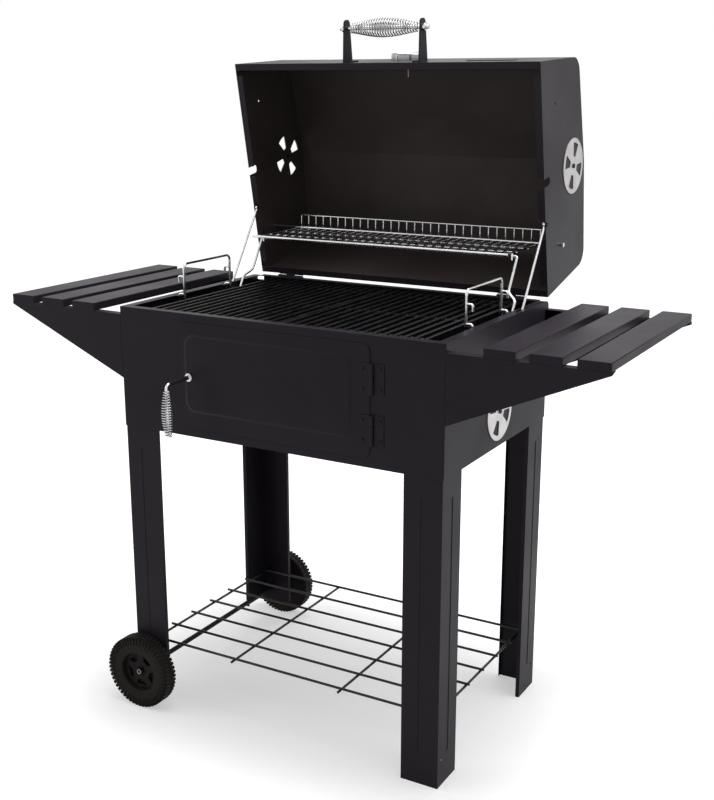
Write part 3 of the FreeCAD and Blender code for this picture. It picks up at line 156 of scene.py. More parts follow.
def make_floor():
    material, tree, output = empty_material("floor_white")
    diffuse = new_node(tree, "ShaderNodeBsdfDiffuse")
    diffuse.inputs["Color"].default_value = (0.62, 0.62, 0.62, 1)
    glow = new_node(tree, "ShaderNodeEmission")
    # Painted shade: the added whiteness is lowest by the cart and grows outwards, so the floor
    # round the cart reads grey.
    shade_round_cart = new_node(tree, "ShaderNodeMapRange", interpolation_type="SMOOTHSTEP")
    feed(tree, shade_round_cart.inputs["Value"], distance_from_cart(tree))
    for label, value in (("From Min", 0.0), ("From Max", 0.34),
                         ("To Min", 0.45), ("To Max", 0.84)):
        shade_round_cart.inputs[label].default_value = value
    level = new_node(tree, "ShaderNodeMath", operation="MULTIPLY")
    feed(tree, level.inputs[0], background_light(tree))
    feed(tree, level.inputs[1], shade_round_cart.outputs["Result"])
    feed(tree, glow.inputs["Strength"], level.outputs[0])
    both = new_node(tree, "ShaderNodeAddShader")
    feed(tree, both.inputs[0], diffuse.outputs[0])
    feed(tree, both.inputs[1], glow.outputs[0])
    feed(tree, output.inputs["Surface"], both.outputs[0])
    mesh = bpy.data.meshes.new("floor")
    size = 12
    mesh.from_pydata([(-size, -size, 0), (size, -size, 0), (size, size, 0), (-size, size, 0)],
                     [], [(0, 1, 2, 3)])
    floor = bpy.data.objects.new("floor", mesh)
    bpy.context.collection.objects.link(floor)
    mesh.materials.append(material)


def make_world():
    world = bpy.data.worlds.new("white_room")
    bpy.context.scene.world = world
    world.use_nodes = True
    tree = world.node_tree
    tree.nodes.clear()
    output = new_node(tree, "ShaderNodeOutputWorld")
    lit = new_node(tree, "ShaderNodeBackground")
    lit.inputs["Strength"].default_value = 0.37
    seen = new_node(tree, "ShaderNodeBackground")
    seen.inputs["Strength"].default_value = 1.0
    for node in (lit, seen):
        node.inputs["Color"].default_value = (1, 1, 1, 1)
    choose = new_node(tree, "ShaderNodeMixShader")
    feed(tree, choose.inputs[0], background_light(tree))
    feed(tree, choose.inputs[1], lit.outputs[0])
    feed(tree, choose.inputs[2], seen.outputs[0])
    feed(tree, output.inputs["Surface"], choose.outputs[0])


make_floor()
make_world()


# %% Lamps
def soft_lamp(name, place, aim, size, watts):
    lamp = bpy.data.lights.new(name, "AREA")
    lamp.shape = "RECTANGLE"
    lamp.size, lamp.size_y = size
    lamp.energy = watts
    lamp_object = bpy.data.objects.new(name, lamp)
    lamp_object.location = place
    lamp_object.rotation_euler = (Vector(aim) - Vector(place)).to_track_quat("-Z", "Y").to_euler()
    bpy.context.collection.objects.link(lamp_object)


CENTRE = Vector((0, 0, 0.7))
soft_lamp("lamp_top", (0.2, 0.4, 3.2), CENTRE, (2.6, 2.6), 76)
soft_lamp("lamp_right", (1.9, 0.1, 3.0), (0.3, 0.1, 0.9), (1.4, 1.4), 24)
soft_lamp("lamp_left", (-2.6, -1.8, 1.9), CENTRE, (1.6, 2.0), 16)

# %% [markdown]
# ## Finishes
# Most of the cart is sheet steel with a satin black powder coat. Close up, such a coat has
# the fine dimples called orange peel, and it dries to slightly uneven gloss. Both come from
# noise, so they are put in one node group that every painted finish shares.


# %% Shared effects
def new_group(name, inputs, outputs):
    """A node group with named number inputs (with defaults) and outputs."""
    group = bpy.data.node_groups.new(name, "ShaderNodeTree")
    for label, value in inputs.items():
        socket = group.interface.new_socket(label, in_out="INPUT", socket_type="NodeSocketFloat")
        socket.default_value = value
    for label in outputs:
        group.interface.new_socket(label, in_out="OUTPUT", socket_type="NodeSocketFloat")
    return group, group.nodes.new("NodeGroupInput"), group.nodes.new("NodeGroupOutput")


def noise(tree, place, scale, detail):
    texture = new_node(tree, "ShaderNodeTexNoise")
    feed(tree, texture.inputs["Vector"], place)
    feed(tree, texture.inputs["Scale"], scale)
    texture.inputs["Detail"].default_value = detail
    return texture.outputs["Fac"]


def spread(tree, value, low, high):
    """Stretches a narrow band of a value to the whole range from 0 to 1."""
    ramp = new_node(tree, "ShaderNodeMapRange")
    feed(tree, ramp.inputs["Value"], value)
    feed(tree, ramp.inputs["From Min"], low)
    feed(tree, ramp.inputs["From Max"], high)
    return ramp.outputs["Result"]


def make_coat_group():
    """Orange peel and broad gloss patches for a sprayed coat."""
    group, source, result = new_group(
        "sprayed_coat", {"Peel Scale": 900.0, "Patch Scale": 7.0}, ["Peel", "Patches"])
    place = new_node(group, "ShaderNodeTexCoord").outputs["Object"]
    peel = noise(group, place, source.outputs["Peel Scale"], 1.0)
    patches = spread(group, noise(group, place, source.outputs["Patch Scale"], 3.0), 0.35, 0.65)
    feed(group, result.inputs["Peel"], peel)
    feed(group, result.inputs["Patches"], patches)
    return group


def make_grain_group():
    """Fine parallel grain for drawn wire and brushed sheet, plus slow stains."""
    group, source, result = new_group(
        "drawn_grain", {"Grain Scale": 500.0, "Stretch": 12.0, "Stain Scale": 25.0},
        ["Grain", "Stains"])
    place = new_node(group, "ShaderNodeTexCoord").outputs["Object"]
    squeeze = new_node(group, "ShaderNodeCombineXYZ")
    squeeze.inputs["X"].default_value = 1.0
    squeeze.inputs["Y"].default_value = 1.0
    feed(group, squeeze.inputs["Z"], source.outputs["Stretch"])
    stretched = new_node(group, "ShaderNodeVectorMath", operation="MULTIPLY")
    feed(group, stretched.inputs[0], place)
    feed(group, stretched.inputs[1], squeeze.outputs[0])
    grain = noise(group, stretched.outputs[0], source.outputs["Grain Scale"], 2.0)
    stains = spread(group, noise(group, place, source.outputs["Stain Scale"], 4.0), 0.4, 0.7)
    feed(group, result.inputs["Grain"], grain)
    feed(group, result.inputs["Stains"], stains)
    return group


COAT = make_coat_group()
GRAIN = make_grain_group()


def place_group(tree, group, **values):
    node = new_node(tree, "ShaderNodeGroup", node_tree=group)
    for label, value in values.items():
        node.inputs[label.replace("_", " ")].default_value = value
    return node


def blend_colours(tree, mask, first, second):
    mix = new_node(tree, "ShaderNodeMix", data_type="RGBA")
    feed(tree, mix.inputs["Factor"], mask)
    mix.inputs[6].default_value = (*first, 1)
    mix.inputs[7].default_value = (*second, 1)
    return mix.outputs[2]


def between(tree, mask, low, high):
    ramp = new_node(tree, "ShaderNodeMapRange")
    feed(tree, ramp.inputs["Value"], mask)
    ramp.inputs["To Min"].default_value = low
    ramp.inputs["To Max"].default_value = high
    return ramp.outputs["Result"]


def raised(tree, height, distance, strength=1.0):
    bump = new_node(tree, "ShaderNodeBump")
    bump.inputs["Distance"].default_value = distance
    bump.inputs["Strength"].default_value = strength
    feed(tree, bump.inputs["Height"], height)
    return bump.outputs["Normal"]


def shader(tree, output, **sockets):
    surface = new_node(tree, "ShaderNodeBsdfPrincipled")
    for label, value in sockets.items():
        feed(tree, surface.inputs[label.replace("_", " ")], value)
    feed(tree, output.inputs["Surface"], surface.outputs[0])
    return surface


# %% Painted and enamelled finishes
PEEL_HEIGHT = 0.04 * MM


def painted(name, dark, light, gloss, specular, peel=PEEL_HEIGHT, **scales):
    """Sprayed black coats: colour between two tones, roughness between two levels."""
    material, tree, output = empty_material(name)
    coat = place_group(tree, COAT, **scales)
    surface = shader(
        tree, output,
        Base_Color=blend_colours(tree, coat.outputs["Patches"], dark, light),
        Roughness=between(tree, coat.outputs["Patches"], *gloss),
        Normal=raised(tree, coat.outputs["Peel"], peel))
    surface.inputs["Specular IOR Level"].default_value = specular
    return material


BLACK_TONES = ((0.0172, 0.0138, 0.0192), (0.0216, 0.0176, 0.0236))
SATIN_BLACK = painted("satin_black_coat", *BLACK_TONES, (0.38, 0.47), 0.08)
OVEN_BLACK = painted("oven_black_inside", (0.0105, 0.0092, 0.0088), (0.0175, 0.0150, 0.0145),
                     (0.46, 0.60), 0.12, Patch_Scale=4.0)
GRATE_ENAMEL = painted("grate_enamel", (0.006, 0.006, 0.0065), (0.010, 0.0095, 0.010),
                       (0.25, 0.38), 0.3, Patch_Scale=30.0)
WHEEL_PLASTIC = painted("moulded_black_plastic", (0.0165, 0.0140, 0.0132),
                        (0.0235, 0.0200, 0.0190), (0.48, 0.62), 0.06, peel=0.06 * MM,
                        Peel_Scale=1400.0)


# %% A coat with two sides
LID_LOW, LID_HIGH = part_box("lid_wrap")
LID_MIDDLE = tuple((LID_LOW + LID_HIGH) / 2)


def lid_coat_lit_inside():
    """The lid's sheets: satin black outside, and a lighter brown where they face the fire, which
    is painted light that lifts their shaded inside.

    A face that looks away from the middle of the lid is outside, and one that looks
    towards it is inside."""
    material, tree, output = empty_material("lid_coat")
    coat = place_group(tree, COAT, Patch_Scale=5.0)
    spot = new_node(tree, "ShaderNodeTexCoord")
    arm = new_node(tree, "ShaderNodeVectorMath", operation="SUBTRACT")
    feed(tree, arm.inputs[0], spot.outputs["Object"])
    arm.inputs[1].default_value = LID_MIDDLE
    facing = new_node(tree, "ShaderNodeVectorMath", operation="DOT_PRODUCT")
    feed(tree, facing.inputs[0], arm.outputs[0])
    feed(tree, facing.inputs[1], spot.outputs["Normal"])
    outside = spread(tree, facing.outputs["Value"], -0.001, 0.001)
    # Painted light: the faces looking inwards take a lighter brown copy of the coat, which lifts
    # the lid's shaded inside.
    inner = blend_colours(tree, coat.outputs["Patches"], (0.060, 0.046, 0.045),
                          (0.084, 0.067, 0.066))
    outer = blend_colours(tree, coat.outputs["Patches"], *BLACK_TONES)
    colour = new_node(tree, "ShaderNodeMix", data_type="RGBA")
    feed(tree, colour.inputs["Factor"], outside)
    feed(tree, colour.inputs[6], inner)
    feed(tree, colour.inputs[7], outer)
    surface = shader(
        tree, output, Base_Color=colour.outputs[2],
        Roughness=between(tree, coat.outputs["Patches"], 0.38, 0.50),
        Normal=raised(tree, coat.outputs["Peel"], PEEL_HEIGHT))
    surface.inputs["Specular IOR Level"].default_value = 0.12
    return material


LID_COAT = lid_coat_lit_inside()


# %% Bare metals
GRAIN_HEIGHT = 0.02 * MM


def metal(name, dark, light, gloss, **scales):
    material, tree, output = empty_material(name)
    grain = place_group(tree, GRAIN, **scales)
    shader(tree, output,
           Base_Color=blend_colours(tree, grain.outputs["Stains"], dark, light),
           Metallic=1.0,
           Roughness=between(tree, grain.outputs["Grain"], *gloss),
           Normal=raised(tree, grain.outputs["Grain"], GRAIN_HEIGHT, 0.5))
    return material


CHROME = metal("chromed_wire", (0.62, 0.62, 0.63), (0.74, 0.74, 0.75), (0.10, 0.20))
ZINC_SHEET = metal("zinc_vent_sheet", (0.47, 0.46, 0.46), (0.58, 0.57, 0.57), (0.34, 0.48),
                   Grain_Scale=260.0)
BEZEL_CHROME = metal("bezel_chrome", (0.30, 0.30, 0.31), (0.40, 0.40, 0.41), (0.18, 0.28))
SPRING_STEEL = metal("spring_wire", (0.33, 0.33, 0.335), (0.45, 0.45, 0.46), (0.14, 0.24))
PLAIN_STEEL = metal("plain_steel", (0.34, 0.34, 0.345), (0.42, 0.42, 0.43), (0.25, 0.38))
STEM_METAL = metal("stem_metal", (0.17, 0.13, 0.10), (0.25, 0.19, 0.15), (0.30, 0.42))


# %% Dial and glass
def dial_material():
    material, tree, output = empty_material("dial_print")
    grain = place_group(tree, GRAIN, Stain_Scale=60.0)
    shader(tree, output,
           Base_Color=blend_colours(tree, grain.outputs["Stains"], (0.72, 0.72, 0.70),
                                    (0.78, 0.78, 0.76)),
           Roughness=0.5)
    return material


def glass_material():
    material, tree, output = empty_material("gauge_lens")
    coat = place_group(tree, COAT)
    surface = shader(tree, output, Roughness=between(tree, coat.outputs["Patches"], 0.02, 0.05))
    surface.inputs["Base Color"].default_value = (0.95, 0.98, 0.98, 1)
    surface.inputs["Transmission Weight"].default_value = 1.0
    surface.inputs["IOR"].default_value = 1.45
    return material


DIAL_PRINT = dial_material()
LENS_GLASS = glass_material()

# %% [markdown]
# ## Dressing the parts
# Each part takes one finish. A table from part names to finishes keeps this in one place;
# any part that isn't listed is satin black.

# %% Give every part its finish
FINISHES = {
    "lid_wrap": LID_COAT, "lid_left_end": LID_COAT, "lid_right_end": LID_COAT,
    "charcoal_tray": OVEN_BLACK, "grate_ledges": OVEN_BLACK, "firebox_floor": OVEN_BLACK,
    "cooking_grate_left": GRATE_ENAMEL, "cooking_grate_right": GRATE_ENAMEL,
    "wire_shelf": GRATE_ENAMEL,
    "wheel_front": WHEEL_PLASTIC, "wheel_rear": WHEEL_PLASTIC,
    "tray_bails": CHROME, "handle_rod": CHROME, "latch_handle_wire": CHROME,
    "warming_rack": CHROME, "rack_legs": CHROME, "stay_rods": CHROME,
    "gauge_dial": DIAL_PRINT, "gauge_glass": LENS_GLASS, "gauge_stem": STEM_METAL,
}
for vent in ("box_left", "box_right", "lid_left", "lid_right"):
    FINISHES[f"vent_disc_{vent}"] = ZINC_SHEET


def dress(thing, material):
    thing.data.materials.clear()
    thing.data.materials.append(material)


for name, part in NODES.items():
    dress(part, FINISHES.get(name, SATIN_BLACK))
print(len(FINISHES), "parts with a finish of their own, the rest satin black")

# %% [markdown]
# ## Pressed edges
# Sheet that has been folded or cut never has a razor edge: a rounding of about a millimetre
# catches the light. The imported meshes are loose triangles, so each one is welded, its flat
# areas are made whole again, and then its sharp edges are bevelled, all with modifiers.

# %% Soften the sheet parts
EDGE_ROUNDING = {
    "firebox_front_panel": 0.7, "firebox_rear_panel": 0.7, "firebox_left_panel": 0.6,
    "firebox_right_panel": 0.6, "leg_front_left": 0.9, "leg_front_right": 0.9,
    "leg_rear_left": 0.9, "leg_rear_right": 0.9, "lid_left_end": 0.6, "lid_right_end": 0.6,
    "badge_plate": 0.4, "handle_brackets": 0.9, "axle_caps": 1.8,
    "door_leaves": 1.1, "door_frame_leaves": 1.1,
}
for word in ("left", "right"):
    for row in ("front", "rear"):
        EDGE_ROUNDING[f"shelf_bracket_{row}_{word}"] = 0.9
    for number in (1, 2, 3):
        EDGE_ROUNDING[f"shelf_slat_{word}_{number}"] = 1.1


def soften(part, width):
    weld = part.modifiers.new("weld", "WELD")
    weld.merge_threshold = 0.01 * MM
    flat = part.modifiers.new("flat", "DECIMATE")
    flat.decimate_type = "DISSOLVE"
    flat.angle_limit = math.radians(0.5)
    bevel = part.modifiers.new("bevel", "BEVEL")
    bevel.width = width
    bevel.segments = 2
    bevel.limit_method = "ANGLE"
    bevel.angle_limit = math.radians(40)
    bevel.use_clamp_overlap = True


for name, width in EDGE_ROUNDING.items():
    soften(NODES[name], width * MM)

# %% [markdown]
# ## Coil springs that keep the handles cool
# Both grips are coils wound as a barrel, so that air passes between the turns. A coil
# follows a rule, so Geometry Nodes wind it: a straight line gets many points, each point is
# moved out and round by its share of the length, and a small circle is swept along it.


# %% Helpers that grow a mesh from a node tree
def geometry_tree(name, inputs):
    """A Geometry Nodes tree with named inputs: (label, socket kind, default) for each."""
    tree = bpy.data.node_groups.new(name, "GeometryNodeTree")
    for label, kind, value in inputs:
        socket = tree.interface.new_socket(label, in_out="INPUT", socket_type=kind)
        if value is not None:
            socket.default_value = value
    tree.interface.new_socket("Geometry", in_out="OUTPUT", socket_type="NodeSocketGeometry")
    return tree, new_node(tree, "NodeGroupInput"), new_node(tree, "NodeGroupOutput")


def close_tree(tree, source, result, geometry):
    """Every tree ends alike: instances made real, then the finish set on them."""
    real = new_node(tree, "GeometryNodeRealizeInstances")
    finish = new_node(tree, "GeometryNodeSetMaterial")
    feed(tree, real.inputs["Geometry"], geometry)
    feed(tree, finish.inputs["Geometry"], real.outputs[0])
    feed(tree, finish.inputs["Material"], source.outputs["Finish"])
    feed(tree, result.inputs["Geometry"], finish.outputs[0])


def grow(name, tree, material, place, **values):
    """Runs a tree once and keeps its result as a plain mesh, set at its place."""
    host = bpy.data.objects.new(name + "_host", bpy.data.meshes.new(name + "_host"))
    bpy.context.collection.objects.link(host)
    modifier = host.modifiers.new("grow", "NODES")
    modifier.node_group = tree
    values["Finish"] = material
    for item in tree.interface.items_tree:
        label = item.name.replace(" ", "_")
        if item.in_out == "INPUT" and label in values:
            modifier[item.identifier] = values[label]
    host.update_tag()
    seen = host.evaluated_get(bpy.context.evaluated_depsgraph_get())
    mesh = bpy.data.meshes.new_from_object(seen)
    bpy.data.objects.remove(host)
    mesh.name = name
    mesh.transform(place)
    return add_piece(name, mesh, material)


def add_piece(name, mesh, material):
    piece = bpy.data.objects.new(name, mesh)
    bpy.context.collection.objects.link(piece)
    mesh.materials.clear()
    mesh.materials.append(material)
    return piece


def sums(tree, kind, first, second=None):
    """A maths node on one or two values."""
    node = new_node(tree, "ShaderNodeMath", operation=kind)
    feed(tree, node.inputs[0], first)
    if second is not None:
        feed(tree, node.inputs[1], second)
    return node.outputs[0]


def vector(tree, x, y, z):
    node = new_node(tree, "ShaderNodeCombineXYZ")
    for socket, value in zip(node.inputs, (x, y, z)):
        feed(tree, socket, value)
    return node.outputs[0]


def round_place(tree, radius, angle, height):
    """A place at a radius and an angle about Z."""
    return vector(tree, sums(tree, "MULTIPLY", radius, sums(tree, "COSINE", angle)),
                  sums(tree, "MULTIPLY", radius, sums(tree, "SINE", angle)), height)


# %% The coil tree
POINTS_PER_TURN = 20.0
BARREL_POWER = 1.3          # above 1, the coil swells later and ends slimmer
END_SHARE = 0.45            # the coil's end radius, as a share of half its width


def make_coil_tree():
    tree, source, result = geometry_tree("barrel_coil", [
        ("Length", "NodeSocketFloat", 0.1), ("Turns", "NodeSocketFloat", 20.0),
        ("End Radius", "NodeSocketFloat", 0.006), ("Middle Radius", "NodeSocketFloat", 0.012),
        ("Wire Radius", "NodeSocketFloat", 0.001), ("Finish", "NodeSocketMaterial", None)])
    line = new_node(tree, "GeometryNodeCurvePrimitiveLine")
    line.inputs["End"].default_value = (0, 0, 1)
    points = new_node(tree, "GeometryNodeResampleCurve")
    feed(tree, points.inputs["Curve"], line.outputs[0])
    feed(tree, points.inputs["Count"],
         sums(tree, "MULTIPLY", source.outputs["Turns"], POINTS_PER_TURN))
    share = new_node(tree, "GeometryNodeSplineParameter").outputs["Factor"]
    wave = sums(tree, "SINE", sums(tree, "MULTIPLY", share, math.pi))
    swell = sums(tree, "POWER", wave, BARREL_POWER)
    growth = sums(tree, "SUBTRACT", source.outputs["Middle Radius"], source.outputs["End Radius"])
    radius = sums(tree, "ADD", source.outputs["End Radius"], sums(tree, "MULTIPLY", growth, swell))
    turned = sums(tree, "MULTIPLY", share, source.outputs["Turns"])
    angle = sums(tree, "MULTIPLY", turned, 2 * math.pi)
    height = sums(tree, "MULTIPLY", sums(tree, "SUBTRACT", share, 0.5), source.outputs["Length"])
    wound = new_node(tree, "GeometryNodeSetPosition")
    feed(tree, wound.inputs["Geometry"], points.outputs[0])
    feed(tree, wound.inputs["Position"], round_place(tree, radius, angle, height))
    circle = new_node(tree, "GeometryNodeCurvePrimitiveCircle")
    circle.inputs["Resolution"].default_value = 8
    feed(tree, circle.inputs["Radius"], source.outputs["Wire Radius"])
    wire = new_node(tree, "GeometryNodeCurveToMesh")
    wire.inputs["Fill Caps"].default_value = True
    feed(tree, wire.inputs["Curve"], wound.outputs[0])
    feed(tree, wire.inputs["Profile Curve"], circle.outputs[0])
    smooth = new_node(tree, "GeometryNodeSetShadeSmooth")
    feed(tree, smooth.inputs["Geometry"], wire.outputs[0])
    close_tree(tree, source, result, smooth.outputs[0])
    return tree


COIL = make_coil_tree()


# %% Wind the two grips
def wind(name, node, body, axis, turns, wire):
    size = extent(node)
    long_way = size["XYZ".index(axis)]
    across = size["XYZ".index("Y" if axis != "Y" else "X")] / 2
    turn = Matrix.Rotation(math.radians(90), 4, "Y") if axis == "X" else Matrix()
    coil = grow(name, COIL, SPRING_STEEL, Matrix.Translation(middle(node)) @ turn,
                Length=long_way - 2 * wire, Turns=turns, Wire_Radius=wire,
                End_Radius=across * END_SHARE, Middle_Radius=across - wire)
    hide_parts(node)
    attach(coil, body)
    print(name, len(coil.data.polygons), "faces")


wind("handle_coil", "handle_spring", "lid", "X", 26.0, 1.25 * MM)
wind("latch_coil", "latch_grip", "latch", "Z", 18.0, 1.2 * MM)

# %% [markdown]
# ## Moulded wheels
# Each wheel is one plastic moulding: a tyre shape with lugs across its tread, a spoked web
# with rounded windows and a hub. Round parts are turned from a profile, the web is a flat
# outline with holes that is given thickness, and Geometry Nodes set the lugs round the rim.


# %% Turned shapes
def lathe(name, profile, steps):
    """Turns a closed (radius, height) outline about Z and returns the mesh."""
    mesh = bpy.data.meshes.new(name)
    vertices, faces = [], []
    count = len(profile)
    for step in range(steps):
        angle = 2 * math.pi * step / steps
        vertices += [(r * math.cos(angle), r * math.sin(angle), z) for r, z in profile]
    for step in range(steps):
        here, there = step * count, (step + 1) % steps * count
        for i in range(count):
            j = (i + 1) % count
            faces.append((here + i, there + i, there + j, here + j))
    mesh.from_pydata(vertices, [], faces)
    tidy(mesh)
    return mesh


def tidy(mesh, smooth=True):
    """Merges doubles and turns all faces outwards."""
    work = bmesh.new()
    work.from_mesh(mesh)
    bmesh.ops.remove_doubles(work, verts=work.verts, dist=0.001 * MM)
    bmesh.ops.recalc_face_normals(work, faces=work.faces)
    for face in work.faces:
        face.smooth = smooth
    work.to_mesh(mesh)
    work.free()


def merge(meshes):
    """Joins several meshes into the first one."""
    work = bmesh.new()
    for mesh in meshes:
        work.from_mesh(mesh)
    work.to_mesh(meshes[0])
    work.free()
    return meshes[0]


# %% The spoked web
def flat_curve(name, outlines, depth, rounding):
    """A flat plate with holes from closed outlines, thickened both ways and rounded."""
    curve = bpy.data.curves.new(name, "CURVE")
    curve.dimensions = "2D"
    curve.fill_mode = "BOTH"
    curve.extrude = depth / 2 - rounding
    curve.bevel_depth = rounding
    curve.bevel_resolution = 2
    for outline in outlines:
        spline = curve.splines.new("POLY")
        spline.points.add(len(outline) - 1)
        for point, (x, y) in zip(spline.points, outline):
            point.co = (x, y, 0, 1)
        spline.use_cyclic_u = True
    host = bpy.data.objects.new(name, curve)
    bpy.context.collection.objects.link(host)
    mesh = bpy.data.meshes.new_from_object(
        host.evaluated_get(bpy.context.evaluated_depsgraph_get()))
    bpy.data.objects.remove(host)
    return mesh


def ring_outline(radius, steps=96):
    angles = [2 * math.pi * i / steps for i in range(steps)]
    return [(radius * math.cos(angle), radius * math.sin(angle)) for angle in angles]


def window_outline(centre_angle, inner, outer, inner_half, outer_half, corner, steps=5):
    """A four-cornered window between two radii, its corners rounded by short arcs."""
    corners = []
    for radius, half in ((inner, -inner_half), (outer, -outer_half), (outer, outer_half),
                         (inner, inner_half)):
        angle = centre_angle + half
        corners.append(Vector((radius * math.cos(angle), radius * math.sin(angle))))
    points = []
    for i, spot in enumerate(corners):
        before = (corners[i - 1] - spot).normalized()
        after = (corners[(i + 1) % 4] - spot).normalized()
        start, end = spot + before * corner, spot + after * corner
        for step in range(steps + 1):
            t = step / steps
            points.append(start * (1 - t) ** 2 + spot * 2 * t * (1 - t) + end * t ** 2)
    return [(p.x, p.y) for p in points]


# %% Tread lugs
def make_lug_tree():
    tree, source, result = geometry_tree("tread_lugs", [
        ("Count", "NodeSocketInt", 40), ("Radius", "NodeSocketFloat", 0.07),
        ("Height", "NodeSocketFloat", 0.01), ("Start Turn", "NodeSocketFloat", 0.0),
        ("Lug Size", "NodeSocketVector", (0.004, 0.005, 0.012)), ("Slant", "NodeSocketFloat", 0.3),
        ("Finish", "NodeSocketMaterial", None)])
    line = new_node(tree, "GeometryNodeMeshLine")
    feed(tree, line.inputs["Count"], source.outputs["Count"])
    index = new_node(tree, "GeometryNodeInputIndex").outputs[0]
    share = sums(tree, "DIVIDE", index, source.outputs["Count"])
    angle = sums(tree, "ADD", sums(tree, "MULTIPLY", share, 2 * math.pi),
                 source.outputs["Start Turn"])
    put = new_node(tree, "GeometryNodeSetPosition")
    feed(tree, put.inputs["Geometry"], line.outputs[0])
    feed(tree, put.inputs["Position"],
         round_place(tree, source.outputs["Radius"], angle, source.outputs["Height"]))
    bar = new_node(tree, "GeometryNodeMeshCylinder")
    for label, value in (("Vertices", 10), ("Radius", 0.5), ("Depth", 1.0)):
        bar.inputs[label].default_value = value
    block = new_node(tree, "GeometryNodeTransform")
    feed(tree, block.inputs["Geometry"], bar.outputs[0])
    feed(tree, block.inputs["Scale"], source.outputs["Lug Size"])
    set_on = new_node(tree, "GeometryNodeInstanceOnPoints")
    feed(tree, set_on.inputs["Points"], put.outputs[0])
    feed(tree, set_on.inputs["Instance"], block.outputs[0])
    feed(tree, set_on.inputs["Rotation"], vector(tree, source.outputs["Slant"], 0.0, angle))
    close_tree(tree, source, result, set_on.outputs[0])
    return tree


LUGS = make_lug_tree()


# %% Build both wheels
HUB_RADIUS = 17 * MM
HUB_RECESS = 12 * MM        # from the wheel's outer side in to the hub's face
TYRE_WALL = 35 * MM         # from the tread in to the web
BORE = 5.4 * MM
LUG_COUNT = 54              # in each of the tread's two rows, and as many ribs
LUG_INSET = 7.4 * MM
LUG_SLANT = 0.25
SPOKES = 5


def tyre_profile(radius, width, rim):
    """A wide side wall that bulges a little, half-round shoulders and a flat tread."""
    shoulder = 7 * MM
    tread = radius - 1.9 * MM
    points = [(rim, 3.4 * MM), (rim + 1.5 * MM, 1.6 * MM), (rim + 5 * MM, 1.1 * MM),
              (rim + 12 * MM, 0.5 * MM)]
    for step in range(7):
        angle = math.pi / 2 * step / 6
        points.append((tread - shoulder + shoulder * math.sin(angle),
                       shoulder - shoulder * math.cos(angle) + 0.5 * MM))
    points += [(r, width - z) for r, z in reversed(points)]
    return points


def make_wheel(word, outward):
    node = f"wheel_{word}"
    size = extent(node)
    radius, width = size.x / 2, size.y
    hub, rim = HUB_RADIUS, radius - TYRE_WALL
    back = middle(node) + Vector((0, -outward * width / 2, 0))
    place = Matrix.Translation(back) @ Matrix.Rotation(math.radians(-90 * outward), 4, "X")
    hub_face = width - HUB_RECESS
    tyre = lathe("tyre", tyre_profile(radius, width, rim), 120)
    hub_part = lathe("hub", [
        (BORE, 0.4 * MM), (hub - 1 * MM, 0.4 * MM), (hub, 1.4 * MM), (hub, hub_face - 1.2 * MM),
        (hub - 1.2 * MM, hub_face), (10 * MM, hub_face), (9 * MM, hub_face - 1 * MM),
        (BORE, hub_face - 1 * MM)], 64)
    web = flat_curve("web", web_outlines(hub, rim), 7 * MM, 1.2 * MM)
    web.transform(Matrix.Translation((0, 0, hub_face - 3 * MM)))
    dish = lathe("dish", [(hub - 1 * MM, hub_face - 8 * MM), (rim + 1.5 * MM, hub_face - 8 * MM),
                          (rim + 1.5 * MM, hub_face - 6 * MM), (hub - 1 * MM, hub_face - 6 * MM)],
                 96)
    for mesh in (tyre, hub_part, web, dish):
        mesh.transform(place)
    moulding = add_piece(f"wheel_moulding_{word}", merge([tyre, hub_part, web, dish]),
                         WHEEL_PLASTIC)
    tidy(moulding.data)
    moulding.data.set_sharp_from_angle(angle=math.radians(35))
    pieces = [moulding]
    half_step = math.pi / LUG_COUNT
    for row, (height, slant, start) in enumerate((
            (LUG_INSET, LUG_SLANT, 0.0), (width - LUG_INSET, -LUG_SLANT, half_step))):
        pieces.append(grow(
            f"wheel_lugs_{word}_{row + 1}", LUGS, WHEEL_PLASTIC, place, Count=LUG_COUNT,
            Radius=radius - 2.1 * MM, Height=height, Start_Turn=start, Slant=slant,
            Lug_Size=(3.4 * MM, 6.8 * MM, 13.5 * MM)))
    pieces.append(grow(
        f"wheel_ribs_{word}", LUGS, WHEEL_PLASTIC, place, Count=LUG_COUNT,
        Radius=radius - 9.5 * MM, Height=width - 0.3 * MM, Start_Turn=half_step, Slant=0.0,
        Lug_Size=(14 * MM, 3.6 * MM, 2.8 * MM)))
    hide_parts(node)
    for piece in pieces:
        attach(piece, node)
    ring = lathe("push_ring", ring_section(4.4 * MM, 0.6 * MM), 48)
    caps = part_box("axle_caps")
    cap_face = (caps[0] if outward < 0 else caps[1]).y
    ring.transform(place @ Matrix.Translation((0, 0, abs(cap_face - back.y) + 0.4 * MM)))
    retainer = add_piece(f"push_ring_{word}", ring, PLAIN_STEEL)
    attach(retainer, "cart")
    print(node, sum(len(piece.data.polygons) for piece in pieces), "faces")


def ring_section(radius, wire, steps=12):
    """A round wire's section, to be turned into a ring."""
    return [(radius + x, z) for x, z in ring_outline(wire, steps)]


def web_outlines(hub, rim):
    """The web's outer edge, its hub hole and the windows between its five spokes."""
    outlines = [ring_outline(rim + 1.5 * MM), ring_outline(hub - 1 * MM, 48)]
    for i in range(SPOKES):
        turn = math.radians(90 + 360 / SPOKES * (i + 0.5))
        outlines.append(window_outline(turn, hub + 4 * MM, rim - 4 * MM, math.radians(20),
                                       math.radians(25), 3 * MM))
    return outlines


make_wheel("front", -1)
make_wheel("rear", 1)

# %% [markdown]
# ## The pressed fire door
# The door is one sheet with its middle pressed forward, and the press leaves a soft slope,
# not a step. Rounded outlines, one inside the other, are joined with strips of faces: this
# gives the slope its own rows, so that it can follow a smooth curve.


